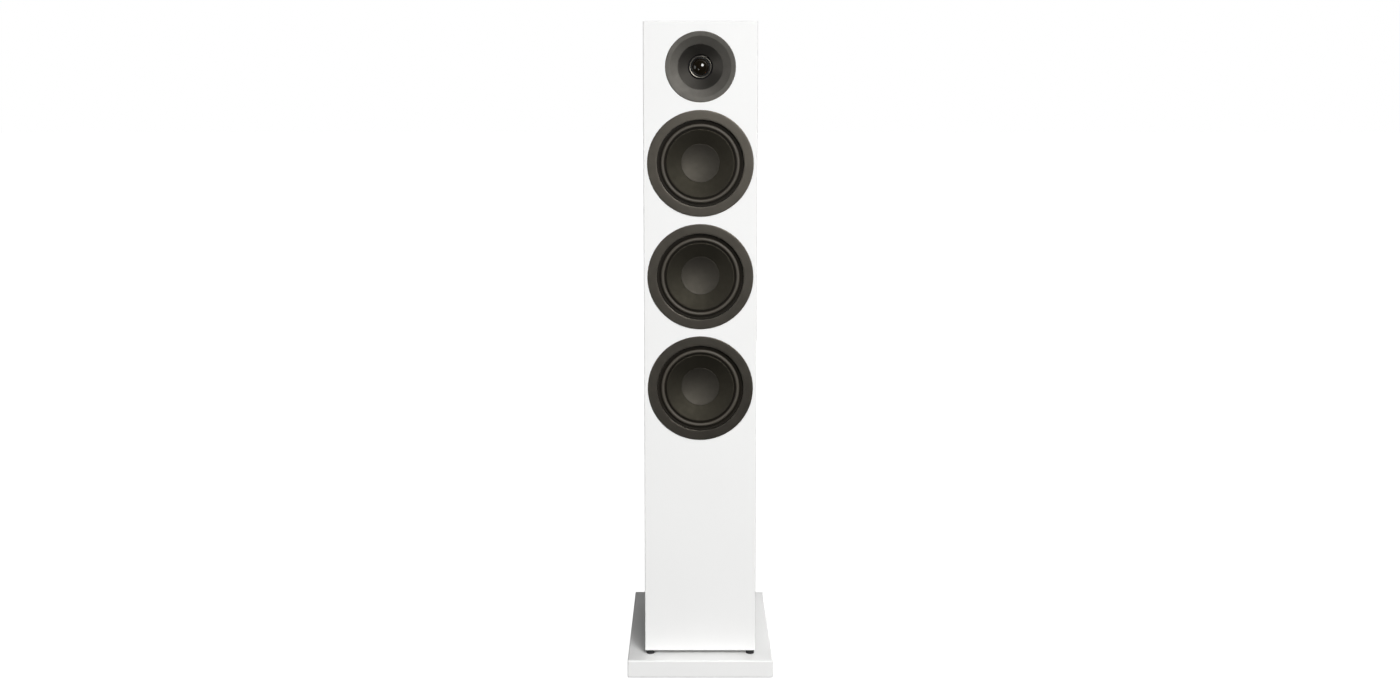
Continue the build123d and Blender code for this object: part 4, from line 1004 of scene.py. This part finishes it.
class SPEAKER_OT_finish_hardware(bpy.types.Operator):
    """Gives the drivers' magnets and fixings, the rear fittings and the crossover their finishes"""

    bl_idname = "speaker.finish_hardware"
    bl_label = "Finish hardware"

    def execute(self, context):
        zinc = plated_metal("zinc_plated_plate", linear("#9fa0a2"), 0.4)
        gold = plated_metal("gold_plated_brass", linear("#d2ab5e"), 0.22)
        black_steel = plated_metal("black_oxide_steel", linear("#2b2a2a"), 0.42)
        port = moulded_plastic("port_plastic", linear("#1c1c1c"), 0.5, 0.6, 0.03)
        finishes = {
            "driver_top_plates": black_steel,
            "driver_yokes": zinc,
            "driver_magnets": sintered_ferrite(),
            "driver_screws": black_steel,
            "terminal_screws": black_steel,
            "driver_gaskets": moulded_rubber("cell_foam_gasket", linear("#1d1d1d"), 0.85),
            "driver_terminals": plated_metal("tinned_brass", linear("#b9b8ae"), 0.35),
            "reflex_port": port,
            "terminal_plate": port,
            "post_studs": gold,
            "clamp_washer_red": gold,
            "clamp_washer_black": gold,
            "knob_red": moulded_plastic("red_knob_plastic", linear("#a81a18"), 0.28, 1.0, 0.006),
            "knob_black": moulded_plastic("black_knob_plastic", linear("#161616"), 0.28, 1.0, 0.006),
            "crossover_board": circuit_laminate(),
            "crossover_coils": winding_finish(),
            "crossover_capacitors": dipped_film_capacitor(),
            "crossover_resistors": cement_resistor(),
            "board_standoffs": moulded_plastic("natural_nylon", linear("#e3e1d6"), 0.45, 0.8, 0.01),
            "hookup_leads": moulded_rubber("soft_vinyl_jacket", linear("#242424"), 0.45),
        }
        for node, material in finishes.items():
            paint_node(node, material)
        return {"FINISHED"}


class SPEAKER_OT_set_stage(bpy.types.Operator):
    """Sets the floor, the soft studio light and the camera"""

    bl_idname = "speaker.set_stage"
    bl_label = "Set stage"

    def execute(self, context):
        settings = context.scene.speaker_stage
        build_floor()
        build_world(context.scene)
        for name, place, aim, size, share, glossy in SOFT_BOXES:
            add_soft_box(name, place, aim, size, share * settings.key_power, glossy)
        add_sky_light(settings.sky_strength)
        add_camera(settings)
        context.scene.view_settings.view_transform = "Standard"
        return {"FINISHED"}


FLOOR_SIZE = 60.0
# name, place, aim, diameter, share of the key's power, seen in gloss
SOFT_BOXES = (
    ("key", (1.14, -3.12, 2.08), (0.0, -0.15, -0.10), 1.45, 1.0, True),
    ("low_front", (1.2, -3.0, 0.35), (0.0, -0.15, 0.30), 1.3, 0.34, False),
    ("left_fill", (-2.6, -1.6, 0.9), (0.0, 0.0, 0.6), 1.6, 0.12, True),
    ("left_low", (-2.6, -0.9, 0.25), (0.0, 0.0, 0.5), 1.4, 0.10, False),
    ("low_spot", (-0.66, -2.04, 0.14), (0.0, -0.15, 1.04), 0.25, 0.015, True),
    ("rear", (0.8, 3.2, 0.40), (0.0, 0.15, 0.55), 1.2, 0.62, True),
)
SKY_DIRECTION = (0.22, -0.88, 0.95)
SKY_SPREAD = math.radians(42)


def build_floor():
    """Square floor, z = 0 everywhere: pale, matt, glowing, and throwing no light on the object."""
    half = FLOOR_SIZE / 2
    corners = np.array([(-half, -half, 0), (half, -half, 0), (half, half, 0), (-half, half, 0)], float)
    floor = link_mesh("floor", corners, [[0, 1, 2, 3]])
    material, tree, shader = new_material(
        "matt_studio_floor",
        linear("#909090"),
        0.9,
        Emission_Color=(1.0, 1.0, 1.0, 1.0),
        Emission_Strength=1.0,
    )
    vary_roughness(tree, shader, speckle(tree, 300.0, 2.0), 0.88, 0.95)
    floor.data.materials.append(material)
    floor.visible_diffuse = False
    floor.visible_glossy = False


def build_world(scene):
    """White surroundings that only the camera sees, so that the lamps alone light the object."""
    world = bpy.data.worlds.new("studio")
    world.use_nodes = True
    scene.world = world
    background = world.node_tree.nodes["Background"]
    background.inputs["Color"].default_value = (1.0, 1.0, 1.0, 1.0)
    background.inputs["Strength"].default_value = 1.0
    world.cycles_visibility.diffuse = False
    world.cycles_visibility.glossy = False
    world.cycles_visibility.transmission = False
    world.cycles_visibility.scatter = False


def add_soft_box(name, place, aim, size, power, glossy):
    """Round soft box that faces its aim. One that isn't glossy lights matt surfaces only."""
    lamp = bpy.data.lights.new(name, "AREA")
    lamp.shape = "DISK"
    lamp.size = size
    lamp.energy = power
    holder = bpy.data.objects.new(name, lamp)
    holder.location = place
    holder.visible_glossy = glossy
    holder.visible_camera = False
    holder.rotation_mode = "QUATERNION"
    holder.rotation_quaternion = (Vector(aim) - Vector(place)).to_track_quat("-Z", "Y")
    bpy.context.scene.collection.objects.link(holder)


def add_sky_light(strength):
    """Even light from high up in front, so broad that gloss doesn't show it."""
    lamp = bpy.data.lights.new("sky", "SUN")
    lamp.energy = strength
    lamp.angle = SKY_SPREAD
    holder = bpy.data.objects.new("sky", lamp)
    holder.rotation_mode = "QUATERNION"
    holder.rotation_quaternion = Vector(SKY_DIRECTION).to_track_quat("Z", "Y")
    holder.visible_glossy = False
    bpy.context.scene.collection.objects.link(holder)


CAMERA_SIDE = -0.010
CAMERA_SHIFT = (0.008, -0.1424)  # in sensor heights
SENSOR_HEIGHT = 18.0  # mm
TURNED_VIEW_WIDTH = 25.7  # mm; the sensor's width


def add_camera(settings):
    """Camera in front of the tweeter's height, tilted down, its sensor fitted by height."""
    front = node_box("front_baffle")[0]
    lens = bpy.data.cameras.new("camera")
    lens.lens = settings.lens
    lens.sensor_fit = "VERTICAL"
    lens.sensor_height = SENSOR_HEIGHT
    lens.sensor_width = TURNED_VIEW_WIDTH
    lens.shift_x, lens.shift_y = CAMERA_SHIFT
    camera = bpy.data.objects.new("camera", lens)
    camera.location = (CAMERA_SIDE, front[1] - settings.camera_distance, front[2] + settings.camera_height)
    camera.rotation_euler = (math.pi / 2 - settings.camera_pitch, 0, 0)
    bpy.context.scene.collection.objects.link(camera)
    bpy.context.scene.camera = camera


# ---------------------------------------------------------------- panel and registration

OPERATORS = (
    SPEAKER_OT_lacquer_cabinet,
    SPEAKER_OT_build_woofers,
    SPEAKER_OT_build_tweeter,
    SPEAKER_OT_stuff_cabinet,
    SPEAKER_OT_finish_hardware,
    SPEAKER_OT_set_stage,
)
SETTINGS = {
    "speaker_lacquer": LacquerSettings,
    "speaker_woofer": WooferSettings,
    "speaker_tweeter": TweeterSettings,
    "speaker_stage": StageSettings,
}


class SPEAKER_PT_panel(bpy.types.Panel):
    """Lists the speaker's operators"""

    bl_label = "Floorstanding speaker"
    bl_idname = "SPEAKER_PT_panel"
    bl_space_type = "VIEW_3D"
    bl_region_type = "UI"
    bl_category = "Speaker"

    def draw(self, context):
        for operator in OPERATORS:
            self.layout.operator(operator.bl_idname)


def register():
    for group in SETTINGS.values():
        bpy.utils.register_class(group)
    for name, group in SETTINGS.items():
        setattr(bpy.types.Scene, name, bpy.props.PointerProperty(type=group))
    for operator in OPERATORS:
        bpy.utils.register_class(operator)
    bpy.utils.register_class(SPEAKER_PT_panel)


def unregister():
    bpy.utils.unregister_class(SPEAKER_PT_panel)
    for operator in reversed(OPERATORS):
        bpy.utils.unregister_class(operator)
    for name, group in SETTINGS.items():
        delattr(bpy.types.Scene, name)
        bpy.utils.unregister_class(group)


def main():
    register()
    bpy.ops.speaker.lacquer_cabinet()
    bpy.ops.speaker.build_woofers()
    bpy.ops.speaker.build_tweeter()
    bpy.ops.speaker.stuff_cabinet()
    bpy.ops.speaker.finish_hardware()
    bpy.ops.speaker.set_stage()


if __name__ == "__main__":
    main()
